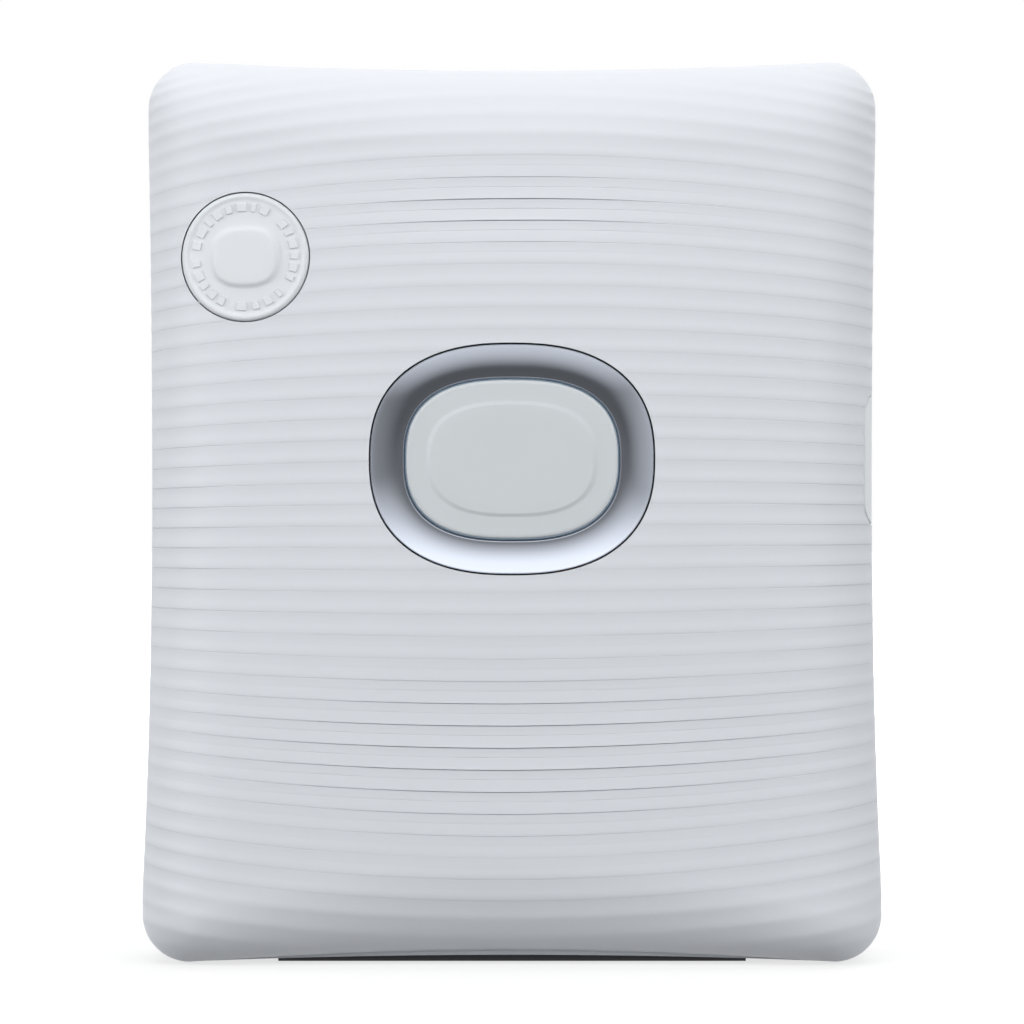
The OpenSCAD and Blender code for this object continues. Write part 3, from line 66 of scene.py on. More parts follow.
def soft_lamp(name, place, width, depth, power):
    """A wide lamp turned towards the printer. Metal doesn't mirror it."""
    lamp_data = bpy.data.lights.new(name, "AREA")
    lamp_data.shape = "RECTANGLE"
    lamp_data.size = width
    lamp_data.size_y = depth
    lamp_data.energy = power
    lamp = bpy.data.objects.new(name, lamp_data)
    scene.collection.objects.link(lamp)
    lamp.location = place
    to_printer = Vector((0, 0, middle_height)) - Vector(place)
    lamp.rotation_euler = to_printer.to_track_quat("-Z", "Y").to_euler()
    lamp.visible_glossy = False


soft_lamp("top_lamp", (0, 0.1, 1.0), 1.4, 0.5, 4.2)
soft_lamp("high_front_lamp", (0, -1.1, 1.0), 1.6, 0.6, 5.4)
soft_lamp("upper_lamp", (0, -0.75, 0.75), 1.3, 0.5, 1.2)
soft_lamp("left_lamp", (-0.95, -0.4, 0.2), 0.5, 0.8, 5.7)
soft_lamp("left_front_lamp", (-1.0, -0.9, 0.2), 0.7, 0.7, 3.0)
soft_lamp("right_front_lamp", (1.0, -0.9, 0.34), 0.7, 0.7, 8.3)
soft_lamp("back_lamp", (0.2, 0.9, 0.7), 0.9, 0.5, 2.1)
soft_lamp("rear_lamp", (0.3, 1.2, 0.2), 1.0, 0.5, 11)


def added(tree, kind, **sockets):
    """A new node, with the numbers and colours given for its sockets."""
    node = tree.nodes.new("ShaderNode" + kind)
    for socket, value in sockets.items():
        node.inputs[socket.replace("_", " ")].default_value = value
    return node


def wired(tree, *wires):
    """Links between sockets, each from an output to an input."""
    for start, end in wires:
        tree.links.new(start, end)


def joined_up(tree, operation, first, second):
    """The result of a sum on two values."""
    node = added(tree, "Math")
    node.operation = operation
    wired(tree, (first, node.inputs[0]), (second, node.inputs[1]))
    return node.outputs[0]


# The mirrored surround, as slopes of light along an axis: how each joins the ones before it, its
# axis, where on that axis it starts and ends, and its brightness at both
mirror_slopes = (
    ("ADD", "Z", 0, 0.28, 0.14, 0.67),
    ("ADD", "Z", 0.3, 0.87, 0, 0.92),
    ("ADD", "Z", -0.4, -0.95, 0, 0.78),
    ("MAXIMUM", "X", 0.2, 1, 0.1, 0.36),
    ("MAXIMUM", "X", -0.25, -0.95, 0.1, 0.6),
    ("ADD", "Y", -0.3, 0.5, 0, 0.5))


def mirrored_light(tree, way):
    """How bright the surround is in a mirror that looks a given way."""
    split = added(tree, "SeparateXYZ")
    wired(tree, (way, split.inputs[0]))
    total = None
    for operation, axis, start, end, dim, bright in mirror_slopes:
        slope = added(tree, "MapRange", From_Min=start, From_Max=end, To_Min=dim, To_Max=bright)
        wired(tree, (split.outputs[axis], slope.inputs["Value"]))
        result = slope.outputs["Result"]
        total = joined_up(tree, operation, total, result) if total else result
    return total


studio_white, mirror_tint = (1, 1, 1, 1), (0.97, 0.985, 1, 1)
world = bpy.data.worlds.new("surround")
scene.world = world
world.use_nodes = True
sky = world.node_tree
sky.nodes.clear()
sky_out = added(sky, "OutputWorld")
white_sky = added(sky, "Background", Color=studio_white, Strength=1.0)
fill_sky = added(sky, "Background", Color=(0.94, 0.97, 1, 1), Strength=0.1)
mirrored_sky = added(sky, "Background", Color=mirror_tint)
sky_way = added(sky, "TexCoord")
sky_ray = added(sky, "LightPath")
fill_or_mirrored = added(sky, "MixShader")
sky_mix = added(sky, "MixShader")
seen = joined_up(sky, "MAXIMUM", sky_ray.outputs["Is Camera Ray"], sky_ray.outputs["Is Transmission Ray"])
wired(sky,
      (mirrored_light(sky, sky_way.outputs["Generated"]), mirrored_sky.inputs["Strength"]),
      (sky_ray.outputs["Is Glossy Ray"], fill_or_mirrored.inputs[0]),
      (fill_sky.outputs[0], fill_or_mirrored.inputs[1]),
      (mirrored_sky.outputs[0], fill_or_mirrored.inputs[2]),
      (seen, sky_mix.inputs[0]),
      (fill_or_mirrored.outputs[0], sky_mix.inputs[1]),
      (white_sky.outputs[0], sky_mix.inputs[2]),
      (sky_mix.outputs[0], sky_out.inputs["Surface"]))

# The floor: matt under the lamps, lit up to white for the camera but for the printer's shadow,
# and in a mirror a part of the same surround
floor_half, floor_drop = 6.0, 0.0002
floor_mesh = bpy.data.meshes.new("floor")
floor_corners = [(x * floor_half, y * floor_half, 0) for x, y in ((-1, -1), (1, -1), (1, 1), (-1, 1))]
floor_mesh.from_pydata(floor_corners, [], [(0, 1, 2, 3)])
floor = bpy.data.objects.new("floor", floor_mesh)
floor.location = (0, 0, -floor_drop)
scene.collection.objects.link(floor)
floor_paint = bpy.data.materials.new("floor_white")
floor_paint.use_nodes = True
paint = floor_paint.node_tree
paint.nodes.clear()
floor_out = added(paint, "OutputMaterial")
matt = added(paint, "BsdfDiffuse", Color=(0.35, 0.35, 0.35, 1))
glow = added(paint, "Emission", Color=studio_white)
mirrored_glow = added(paint, "Emission", Color=mirror_tint)
floor_place = added(paint, "TexCoord")
floor_reach = added(paint, "VectorMath")
floor_reach.operation = "LENGTH"
dish_place = (0, -0.02, 0.07)
from_dish = added(paint, "VectorMath")
from_dish.operation = "SUBTRACT"
from_dish.inputs[1].default_value = dish_place
dish_way = added(paint, "VectorMath")
dish_way.operation = "NORMALIZE"
floor_fade = added(paint, "MapRange", From_Min=0.06, From_Max=0.45, To_Min=0.7, To_Max=1.2)
floor_sum = added(paint, "AddShader")
floor_mix = added(paint, "MixShader")
floor_mirrored = added(paint, "MixShader")
floor_ray = added(paint, "LightPath")
wired(paint,
      (floor_place.outputs["Object"], floor_reach.inputs[0]),
      (floor_reach.outputs["Value"], floor_fade.inputs["Value"]),
      (floor_place.outputs["Object"], from_dish.inputs[0]),
      (from_dish.outputs["Vector"], dish_way.inputs[0]),
      (mirrored_light(paint, dish_way.outputs["Vector"]), mirrored_glow.inputs["Strength"]),
      (floor_fade.outputs["Result"], glow.inputs["Strength"]),
      (matt.outputs[0], floor_sum.inputs[0]),
      (glow.outputs[0], floor_sum.inputs[1]),
      (floor_ray.outputs["Is Camera Ray"], floor_mix.inputs[0]),
      (matt.outputs[0], floor_mix.inputs[1]),
      (floor_sum.outputs[0], floor_mix.inputs[2]),
      (floor_ray.outputs["Is Glossy Ray"], floor_mirrored.inputs[0]),
      (floor_mix.outputs[0], floor_mirrored.inputs[1]),
      (mirrored_glow.outputs[0], floor_mirrored.inputs[2]),
      (floor_mirrored.outputs[0], floor_out.inputs["Surface"]))
floor_mesh.materials.append(floor_paint)

# ---------------------------------------------------------------------------------------------
# The front cover: one moulding in white plastic, a pillow with pulled-out corners. Fine ribs run
# across it, level at one height and bowed above and below. Each swells a little and leans back to
# a small step under the next, and they fade out at the top edge and the base.
# ---------------------------------------------------------------------------------------------
MM = 0.001
body_w, waist_w, top_w, body_h, body_d = 101.0, 98.4, 99.4, 123.0, 34.0
corner_r, waist_z, flank_lead = 6.5, 64.7, 1.5
top_dip, cover_rise, case_rise = 1.2, 1.6, 0.9
wall, cover_depth, dome_h, dome_power = 2.0, 13.0, 4.5, 2.2
side_roll, top_roll, corner_roll, base_roll = 10.0, 11.0, 7.0, 13.0
front_y, back_y = -body_d / 2, body_d / 2
seam_y = front_y + cover_depth
edge_span = body_w / 2 - corner_r


def flank(z):
    """Half the width at a height, without the round corners."""
    low = z < waist_z
    wide = np.where(low, body_w, top_w) / 2
    run = np.where(low, waist_z, body_h - waist_z) - flank_lead * corner_r
    share = np.minimum(1, np.abs(z - waist_z) / run)
    return waist_w / 2 + (wide - waist_w / 2) * share**2


def half_width(z):
    """Half the width at a height, corners and all."""
    short = np.maximum(0, corner_r - np.minimum(z, body_h - z))
    return flank(z) - corner_r + np.sqrt(np.maximum(0, corner_r**2 - short**2))


def bow(x):
    """1 in the middle and 0 where the corners begin."""
    return np.maximum(0, 1 - (x / edge_span) ** 2)


def top_edge(x):
    """The height of the top, which dips in the middle."""
    return body_h - top_dip * bow(x)


def rolled(t):
    """A quarter circle from 0 to 1."""
    return np.sqrt(np.maximum(0, 1 - (1 - np.clip(t, 0, 1)) ** 2))


def dome(x, z):
    """How far the front bulges: 1 at its centre and 0 at its edges."""
    across = np.maximum(0, 1 - np.abs(x / (body_w / 2)) ** dome_power)
    return across * np.maximum(0, 1 - np.abs(2 * z / body_h - 1) ** dome_power)


def lift(x, z, inset=0.0):
    """How far the skin stands out, from 0 at the joint to 1 in the middle."""
    sides = rolled((half_width(z) - inset - np.abs(x)) / side_roll)
    top = rolled((top_edge(x) - z - inset) / top_roll)
    low_roll = corner_roll + (base_roll - corner_roll) * bow(x)
    base = rolled((z - cover_rise * bow(x) - inset) / low_roll)
    return sides * np.minimum(top, base)


def skin_y(x, z):
    """The depth of the cover's outside at a place."""
    return seam_y - lift(x, z) * (cover_depth - dome_h + dome_h * dome(x, z))


# The grooves between the ribs: their pitch above and below the level one, how they arch, and how
# they crowd together near the top. They are numbered from the level one, and a band of rows
# beyond the last at each end carries the skin on to the rim.
rib_rise, rib_fall, level_z = 2.935, 2.98, 56.7
rib_arch, end_arch, right_lift = 0.09, 0.008, 0.47
crowding, crowded_from = 0.02, 17
row_low, row_high, low_band, high_band = -17, 18, 3, 5
# A rib's swell, the step and slit under the next rib, and a fainter step half way between
swell, end_swell, swell_lead, swell_twist = 0.04, 0.35, 0.07, 0.13
step, slit, slit_place, slit_half, lean = 0.17, 0.26, 0.985, 0.012, 2.5
half_way, faint_share, faint_low_share, plain_share = 0.55, 0.25, 0.6, 0.03
# Where the steps are crisp: a band above the dish, a band below it, and both sides
high_middle, high_spread, high_reach = 15.6, 1.4, 16
low_middle, low_spread, low_reach, low_share = -9.3, 3.2, 30, 1.1
side_middle, side_spread, side_reach, side_share = 0.9, 8, 0.25, 0.27
top_fade, base_fade, rim_fade = 4.5, 6, 5


def groove_z(k, u):
    """The height of a groove at a share of the half width."""
    above = k - crowding * np.maximum(0, k - crowded_from) ** 2
    bent = above * (1 - rib_arch * u**2 - end_arch * u**6)
    return level_z + right_lift * np.maximum(0, u) + np.where(k > 0, rib_rise, rib_fall) * bent


def groove_at(z, u):
    """A groove's number, with fractions between two grooves, at a height and a share of the half width."""
    rise = z - level_z - right_lift * np.maximum(0, u)
    k = rise / (np.where(rise > 0, rib_rise, rib_fall) * (1 - rib_arch * u**2 - end_arch * u**6))
    past = np.maximum(0, k - crowded_from)
    return np.where(past > 0, crowded_from + (1 - np.sqrt(1 - 4 * crowding * past)) / (2 * crowding), k)


def shingle(k):
    """The cut of one rib: none at its lower edge, growing as it leans back, and a slit under the next."""
    part = k - np.floor(k + 1e-6)
    leaning = step * (1 - (1 - np.minimum(1, lean * part)) ** 2)
    return leaning + slit * (np.abs(part - slit_place) < slit_half)


def groove_cut(k, u, x, z):
    """How deep the skin is cut: the ribs' swell, their crisp steps, and a faint step half way between."""
    high_zone = np.exp(-(((k - high_middle) / high_spread) ** 2) - (x / high_reach) ** 2)
    low_zone = np.exp(-(((k - low_middle) / low_spread) ** 2) - (x / low_reach) ** 2)
    side_zone = np.exp(-((k / side_spread) ** 2) - ((np.abs(u) - side_middle) / side_reach) ** 2)
    fade = np.clip((top_edge(x) - z) / top_fade, 0, 1)
    fade = fade * np.clip((z - cover_rise * bow(x)) / base_fade, 0, 1)
    turn = 2 * math.pi * (k + swell_lead)
    soft = swell * (1 + end_swell * u**6) * (1 - np.sin(turn) + swell_twist * np.cos(2 * turn))
    crisp = (plain_share + high_zone + low_share * low_zone + side_share * side_zone) * shingle(k)
    faint = faint_share * (high_zone + faint_low_share * low_zone) * shingle(k - half_way)
    return fade * (soft + crisp + faint)


def field(rows, columns, inset, grooved, thick):
    """The cover's skin as a grid of points whose rows follow the grooves."""
    u = np.sin(np.linspace(-math.pi / 2, math.pi / 2, columns + 1))
    points, cuts = [], []
    for k in rows:
        share, end, last = 0.0, body_h, row_high
        if k > row_high:
            share = math.sin(math.pi / 2 * (k - row_high) / high_band)
            end = body_h - inset
        if k < row_low:
            share = math.sin(math.pi / 2 * (row_low - k) / low_band)
            end, last = inset, row_low
        nearest = last if share else k
        end_z = (1 - share) * float(groove_z(nearest, 0.0)) + share * end
        x = u * max(1.0, float(half_width(np.float64(end_z))) - inset)
        rim_z = top_edge(x) - inset if k > 0 else cover_rise * bow(x) + inset
        z = (1 - share) * groove_z(nearest, u) + share * rim_z
        x = u * np.maximum(1.0, half_width(np.clip(z, 0, body_h)) - inset)
        raised = lift(x, z, inset)
        raised[0] = raised[-1] = 0
        if k in (rows[0], rows[-1]):
            raised[:] = 0
        y = seam_y + thick - raised * (cover_depth - dome_h + dome_h * dome(x, z))
        points.append(np.stack([x, y, z], axis=1))
        number = groove_at(z, u) if share else k + 0 * u
        cuts.append(groove_cut(number, u, x, z) * np.clip(rim_fade * raised, 0, 1))
    grid = np.array(points)
    if grooved:
        inward = np.cross(np.gradient(grid, axis=0), np.gradient(grid, axis=1))
        inward /= np.maximum(1e-9, np.linalg.norm(inward, axis=2, keepdims=True))
        grid += inward * np.array(cuts)[:, :, None]
    return grid


def made(name, points, faces):
    """A mesh object from points in millimetres."""
    mesh = bpy.data.meshes.new(name)
    mesh.from_pydata([tuple(float(c) * MM for c in p) for p in points], [], faces)
    mesh.validate()
    mesh.update()
    piece = bpy.data.objects.new(name, mesh)
    scene.collection.objects.link(piece)
    return piece


def pillow(name, grid):
    """A solid from a skin's grid, closed behind by a fan from its rim to the middle."""
    h, w = grid.shape[:2]
    faces = [(j * w + i, (j + 1) * w + i, (j + 1) * w + i + 1, j * w + i + 1)[::-1]
             for j in range(h - 1) for i in range(w - 1)]
    rim = list(range(w)) + [j * w + w - 1 for j in range(1, h)]
    rim += [(h - 1) * w + i for i in range(w - 2, -1, -1)] + [j * w for j in range(h - 2, 0, -1)]
    middle = h * w
    faces += [(rim[i], rim[i - 1], middle) for i in range(len(rim))]
    return made(name, np.vstack([grid.reshape(-1, 3), [(0.0, grid[0, 0, 1], body_h / 2)]]), faces)


def joined(piece, operation, *tools):
    """Cuts the tools out of a piece, or adds them to it, and throws the tools away."""
    for tool in tools:
        fitting = piece.modifiers.new("fitting", "BOOLEAN")
        fitting.operation = operation
        fitting.solver = "MANIFOLD"
        fitting.object = tool
        bpy.context.view_layer.update()
        solid = piece.evaluated_get(bpy.context.evaluated_depsgraph_get())
        mesh = bpy.data.meshes.new_from_object(solid)
        piece.modifiers.clear()
        mesh.materials.clear()
        old = piece.data
        piece.data = mesh
        bpy.data.meshes.remove(old)
        bpy.data.objects.remove(tool)
    return piece


def smooth(piece, degrees=35):
    """Smooth shading, but for edges sharper than the angle."""
    piece.data.shade_smooth()
    piece.data.set_sharp_from_angle(angle=math.radians(degrees))
    return piece


def prism_y(name, outline, y0, y1):
    """A solid through an outline in X and Z (anticlockwise from the front), from y0 back to y1."""
    n = len(outline)
    points = [(p[0], y0, p[1]) for p in outline] + [(p[0], y1, p[1]) for p in outline]
    sides = [(i, n + i, n + (i + 1) % n, (i + 1) % n) for i in range(n)]
    return made(name, points, [tuple(range(n))] + [tuple(range(2 * n - 1, n - 1, -1))] + sides)


def prism_x(name, outline, x0, x1):
    """A solid through an outline in Y and Z, from x0 to x1."""
    n = len(outline)
    points = [(x0, p[0], p[1]) for p in outline] + [(x1, p[0], p[1]) for p in outline]
    sides = [(i, (i + 1) % n, n + (i + 1) % n, n + i) for i in range(n)]
    return made(name, points, [tuple(range(n))[::-1], tuple(range(n, 2 * n))] + sides)


def oval(a, b, power, steps=180, centre=(0.0, 0.0)):
    """A round outline, squarer with a higher power, anticlockwise."""
    turn = np.linspace(0, 2 * math.pi, steps, endpoint=False)
    c, s = np.cos(turn), np.sin(turn)
    x = centre[0] + a * np.sign(c) * np.abs(c) ** (2 / power)
    z = centre[1] + b * np.sign(s) * np.abs(s) ** (2 / power)
    return np.stack([x, z], axis=1)


def rounded(x0, x1, z0, z1, r, steps=8):
    """A rectangle with round corners, anticlockwise."""
    points = []
    corners = ((x1 - r, z0 + r, -90), (x1 - r, z1 - r, 0), (x0 + r, z1 - r, 90), (x0 + r, z0 + r, 180))
    for cx, cz, start in corners:
        for i in range(steps + 1):
            a = math.radians(start + 90 * i / steps)
            points.append((cx + r * math.cos(a), cz + r * math.sin(a)))
    return points


slow_scale, sheen_swing = 35, 0.05


def moulded(name, colour, rough=0.45, grain=0.35, depth=0.006, tint=0.02, coat=0.0, metal=0.0):
    """A finish with a fine grain (its pitch and depth in mm), a slow drift of tone and an uneven sheen."""
    material = bpy.data.materials.new(name + "_finish")
    material.use_nodes = True
    tree = material.node_tree
    shader = tree.nodes["Principled BSDF"]
    shader.inputs["Metallic"].default_value = metal
    shader.inputs["Coat Weight"].default_value = coat
    place = added(tree, "TexCoord")
    fine = added(tree, "TexNoise", Scale=1 / (grain * MM), Detail=3)
    slow = added(tree, "TexNoise", Scale=slow_scale, Detail=2)
    tone = added(tree, "Mix")
    tone.data_type = "RGBA"
    tone.inputs["A"].default_value = (*[c * (1 - tint) for c in colour], 1)
    tone.inputs["B"].default_value = (*[min(1, c * (1 + tint)) for c in colour], 1)
    sheen = added(tree, "MapRange", To_Min=rough - sheen_swing, To_Max=rough + sheen_swing)
    bump = added(tree, "Bump", Distance=depth * MM, Strength=1)
    wired(tree,
          (place.outputs["Object"], fine.inputs["Vector"]),
          (place.outputs["Object"], slow.inputs["Vector"]),
          (slow.outputs["Fac"], tone.inputs["Factor"]),
          (tone.outputs["Result"], shader.inputs["Base Color"]),
          (fine.outputs["Fac"], sheen.inputs["Value"]),
          (sheen.outputs["Result"], shader.inputs["Roughness"]),
          (fine.outputs["Fac"], bump.inputs["Height"]),
          (bump.outputs["Normal"], shader.inputs["Normal"]))
    return material


def rows_of(low_steps, ribbed, high_steps):
    """The grid's rows as groove numbers, from the base over the ribs to the top."""
    low_rows = list(np.linspace(row_low - low_band, row_low, low_steps)[:-1])
    return low_rows + ribbed + list(np.linspace(row_high, row_high + high_band, high_steps))


# Rows across one rib, closer at its steps, for the outside, and a coarser grid for the hollow
across_rib = (0, 0.06, 0.13, 0.2, 0.28, 0.36, 0.44, 0.505, 0.535,
              0.55, 0.62, 0.7, 0.78, 0.86, 0.92, 0.955, 0.985)
fine_rows = rows_of(50, [k + part for k in range(row_low, row_high) for part in across_rib], 90)
plain_rows = rows_of(6, list(np.linspace(row_low, row_high, 30)[:-1]), 8)
fine_columns, plain_columns = 150, 40
front_cover = pillow("ribbed_front_cover", field(fine_rows, fine_columns, 0.0, True, 0.0))
hollow = pillow("hollow", field(plain_rows, plain_columns, wall, False, wall))

# The holes for the dish, the function button and the latch. The latch's window is close above and
# below it, and wider in front and behind, where the latch rocks.
dish_z, dish_a, dish_b, dish_power, dish_gap = 68.6, 19.0, 15.4, 2.43, 0.2
function_x, function_z, function_r, function_gap = -35.9, 95.8, 8.65, 0.14
latch_z, latch_h, latch_front, latch_back, latch_r = 68.6, 17.5, 4.2, 6.4, 3.0
latch_y0, latch_y1, latch_gap, latch_close = seam_y - latch_front, seam_y + latch_back, 0.35, 0.13
notch_x, hole_x, past_side_x = 40, 44, 52
dish_hole = prism_y("dish_hole", oval(dish_a + dish_gap, dish_b + dish_gap, dish_power, centre=(0, dish_z)),
                    front_y - 1, seam_y)
round_hole_r = function_r + function_gap
function_turn = oval(round_hole_r, round_hole_r, 2, centre=(function_x, function_z))
round_hole = prism_y("round_hole", function_turn, front_y - 1, seam_y - 3)
latch_window = rounded(latch_y0 - latch_gap, latch_y1 + latch_gap, latch_z - latch_h / 2 - latch_close,
                       latch_z + latch_h / 2 + latch_close, latch_r + 0.2)
latch_hole = prism_x("latch_hole", latch_window, hole_x, past_side_x)
joined(front_cover, "DIFFERENCE", hollow, dish_hole, round_hole, latch_hole)
smooth(front_cover, 40)
cover_white = moulded("cover_white", (0.70, 0.724, 0.765), rough=0.42)
front_cover.data.materials.append(cover_white)
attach(front_cover, "printer_body")
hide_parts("front_cover")

# The lip inside the cover's rim, which the back half of the case fits round
lip_front_y, lip_back_y, lip_gap, lip_in = seam_y - 1.35, seam_y + 1.2, 0.05, 1.1


def loop(inset, rise, corner=10, edge=24, side=40):
    """The printer's outline set in by a distance, anticlockwise from the middle of the base."""
    r = corner_r - inset
    high_z = body_h - corner_r
    low_x = float(flank(np.float64(corner_r))) - corner_r
    high_x = float(flank(np.float64(high_z))) - corner_r
    right = [(low_x * i / edge, rise * float(bow(low_x * i / edge)) + inset) for i in range(edge)]
    for i in range(corner + 1):
        a = math.radians(90 * i / corner - 90)
        right.append((low_x + r * math.cos(a), corner_r + r * math.sin(a)))
    for i in range(1, side):
        z = corner_r + (high_z - corner_r) * i / side
        right.append((float(flank(np.float64(z))) - inset, z))
    for i in range(corner + 1):
        a = math.radians(90 * i / corner)
        right.append((high_x + r * math.cos(a), high_z + r * math.sin(a)))
    for i in range(edge - 1, -1, -1):
        x = high_x * i / edge
        right.append((x, float(top_edge(x)) - inset))
    return right + [(-x, z) for x, z in right[-2:0:-1]]


def lofted(name, rings, closed=False):
    """Skins rings of equal length that run from front to back, each anticlockwise from the front."""
    n, m = len(rings[0]), len(rings)
    points = [p for ring in rings for p in ring]
    faces = [(j * n + i, ((j + 1) % m) * n + i, ((j + 1) % m) * n + (i + 1) % n, j * n + (i + 1) % n)
             for j in range(m if closed else m - 1) for i in range(n)]
    if not closed:
        faces += [tuple(range(n)), tuple(range(m * n - 1, (m - 1) * n - 1, -1))]
    return made(name, points, faces)


def at_y(outline, y):
    """A ring: an outline in X and Z, laid at a depth."""
    return [(p[0], y, p[1]) for p in outline]


lip_outer, lip_inner = loop(wall + lip_gap, cover_rise), loop(wall + lip_in, cover_rise)
cover_lip = lofted("cover_lip", [at_y(lip_outer, lip_front_y), at_y(lip_outer, lip_back_y),
                                 at_y(lip_inner, lip_back_y), at_y(lip_inner, lip_front_y)], closed=True)
joined(cover_lip, "DIFFERENCE", prism_x("lip_notch", latch_window, notch_x, past_side_x))
cover_lip.data.materials.append(cover_white)
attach(cover_lip, "printer_body")

# ---------------------------------------------------------------------------------------------
# The dish round the power button: a separate moulding with a bright metallic finish, hollowed
# in a smooth curve from its rim down to the button. It is let into the cover from behind.
# ---------------------------------------------------------------------------------------------
def front_at(x, z):
    """The depth of the front at one place."""
    return float(skin_y(np.float64(x), np.float64(z)))


dish_depth, dish_band, dish_sunk, eye_power = 3.2, 4.5, 0.15, 2.6
bowl_depth, bowl_power, bowl_share, bowl_steps = 1.9, 2.2, 0.94, 30
dish_rim_y = front_at(dish_a, dish_z) + dish_sunk
dish_floor_y = dish_rim_y + dish_depth
bowl_floor_y = dish_rim_y + bowl_depth
eye_a, eye_b = dish_a - dish_band, dish_b - dish_band
outer_edge = oval(dish_a, dish_b, dish_power)
inner_edge = oval(eye_a, eye_b, eye_power)


def band(share, y):
    """A ring of the dish, at a share of the way from its rim to the button, laid at a depth."""
    ring = outer_edge + (inner_edge - outer_edge) * share
    return [(p[0], y, p[1] + dish_z) for p in ring]


# The rings run up the wall beside the button, over its round edge, up the bowl, over the rim and
# down behind
dish_rings = [band(1, dish_floor_y - 0.2)]
dish_rings += [band(share, bowl_floor_y + back) for share, back in ((1, 0.35), (0.99, 0.12), (0.965, 0.01))]
dish_rings += [band(share, dish_rim_y + bowl_depth * (1 - (1 - share) ** bowl_power))
               for share in [bowl_share - bowl_share * i / bowl_steps for i in range(bowl_steps)]]
dish_rings += [band(share, dish_rim_y + back) for share, back in ((0.01, 0.02), (0, 0.1), (0, 2.4))]
dish_rings += [band(share, dish_floor_y + 1) for share in (0.35, 1)]
dish = lofted("polished_dish", dish_rings, closed=True)
smooth(dish, 40)
dish_silver = moulded("dish_silver", (0.57, 0.60, 0.67), rough=0.17, grain=0.12, depth=0.0012, metal=1.0)
dish.data.materials.append(dish_silver)
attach(dish, "printer_body")
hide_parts("dish_ring")

# ---------------------------------------------------------------------------------------------
# The light guide: a thin wall of clear plastic between the dish and the button. Its finish is given
# a faint pale blue glow of its own, a painted glow with no lamp behind it, so that a pale blue line shows
# round the button.
# ---------------------------------------------------------------------------------------------
guide_t, guide_gap, guide_in, guide_crown, guide_edge = 0.55, 0.08, 0.1, 0.12, 0.1
guide_front_y, guide_back_y = dish_floor_y - 0.4, -10.2
guide_outer = oval(eye_a - guide_gap, eye_b - guide_gap, eye_power, centre=(0, dish_z))
guide_inner = oval(eye_a - guide_in - guide_t, eye_b - guide_in - guide_t, eye_power, centre=(0, dish_z))
guide_mid = (guide_outer + guide_inner) / 2
guide_rings = [at_y(guide_mid, guide_front_y - guide_crown), at_y(guide_outer, guide_front_y + guide_edge),
               at_y(guide_outer, guide_back_y), at_y(guide_inner, guide_back_y),
               at_y(guide_inner, guide_front_y + guide_edge)]
guide = lofted("light_ring", guide_rings, closed=True)
smooth(guide, 50)
guide_clear = moulded("guide_clear", (0.76, 0.84, 0.92), rough=0.3, grain=0.2, depth=0.001, tint=0.01)
guide_shader = guide_clear.node_tree.nodes["Principled BSDF"]
# A painted glow: the clear plastic shines a faint pale blue light of its own, though no lamp lights it.
guide_shader.inputs["Emission Color"].default_value = (0.62, 0.82, 1, 1)
guide_shader.inputs["Emission Strength"].default_value = 0.08
guide_shader.inputs["Transmission Weight"].default_value = 0.2
guide.data.materials.append(guide_clear)
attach(guide, "printer_body")
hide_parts("light_guide")

# ---------------------------------------------------------------------------------------------
# The power button: a broad oval key in satin plastic with a raised oval plateau and a thin lip
# over the light guide. It stands in the dish and moves half a millimetre onto a dome switch.
# ---------------------------------------------------------------------------------------------
button_gap, lip_clear = 0.25, 0.28
power_a, power_b = eye_a - guide_in - guide_t - button_gap, eye_b - guide_in - guide_t - button_gap
power_lip_a, power_lip_b = (eye_a - lip_clear) / power_a, (eye_b - lip_clear) / power_b
power_front_y = dish_rim_y + 0.9
plateau_share, plateau_flare, plateau_less, plateau_h, plateau_steps = 0.79, 0.07, 0.07, 0.34, 12
shoulder_a, shoulder_b, shoulder_y, shoulder_h = 0.05, 0.06, 0.36, 0.35
stem_r, stem_root, stem_tip_y = 1.6, 1.9, -12.3


def key_ring(a_share, b_share, back):
    """A ring of the power button, at shares of its two half widths and behind its front."""
    outline = oval(power_a * a_share, power_b * b_share, eye_power, centre=(0, dish_z))
    return at_y(outline, power_front_y + back)


def disc(name, rings):
    """A solid from rings whose first one is closed by a fan of shrinking rings."""
    first = np.array(rings[0])
    middle = first.mean(axis=0)
    inner = [[tuple(middle + (p - middle) * share) for p in first] for share in (0.02, 0.25, 0.5, 0.75)]
    return lofted(name, inner + rings)


# The plateau's edge falls in a soft wave, then the shoulder rounds over to the lip
power_rings = []
for i in range(plateau_steps + 1):
    t = i / plateau_steps
    a_share = plateau_share + plateau_flare * t
    fall = plateau_h * (1 - math.cos(math.pi * t)) / 2
    power_rings.append(key_ring(a_share, a_share - plateau_less, fall))
for degrees in range(0, 91, 9):
    turn = math.radians(degrees)
    short = 1 - math.sin(turn)
    power_rings.append(key_ring(power_lip_a - shoulder_a * short, power_lip_b - shoulder_b * short,
                                shoulder_y + shoulder_h * (1 - math.cos(turn))))
power_rings += [key_ring(power_lip_a, power_lip_b, 1.15), key_ring(1, 1, 1.25), key_ring(1, 1, 2.4)]
power_key = disc("power_key", power_rings)
stem_turn = oval(stem_r, stem_r, 2, centre=(0, dish_z))
power_stem = lofted("power_stem", [at_y(stem_turn, power_front_y + stem_root),
                                   at_y(stem_turn, stem_tip_y)])
joined(power_key, "UNION", power_stem)
smooth(power_key, 50)
button_grey = moulded("button_grey", (0.63, 0.665, 0.685), rough=0.36, grain=0.25, depth=0.004)
power_key.data.materials.append(button_grey)
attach(power_key, "power_button")
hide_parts("power_button")

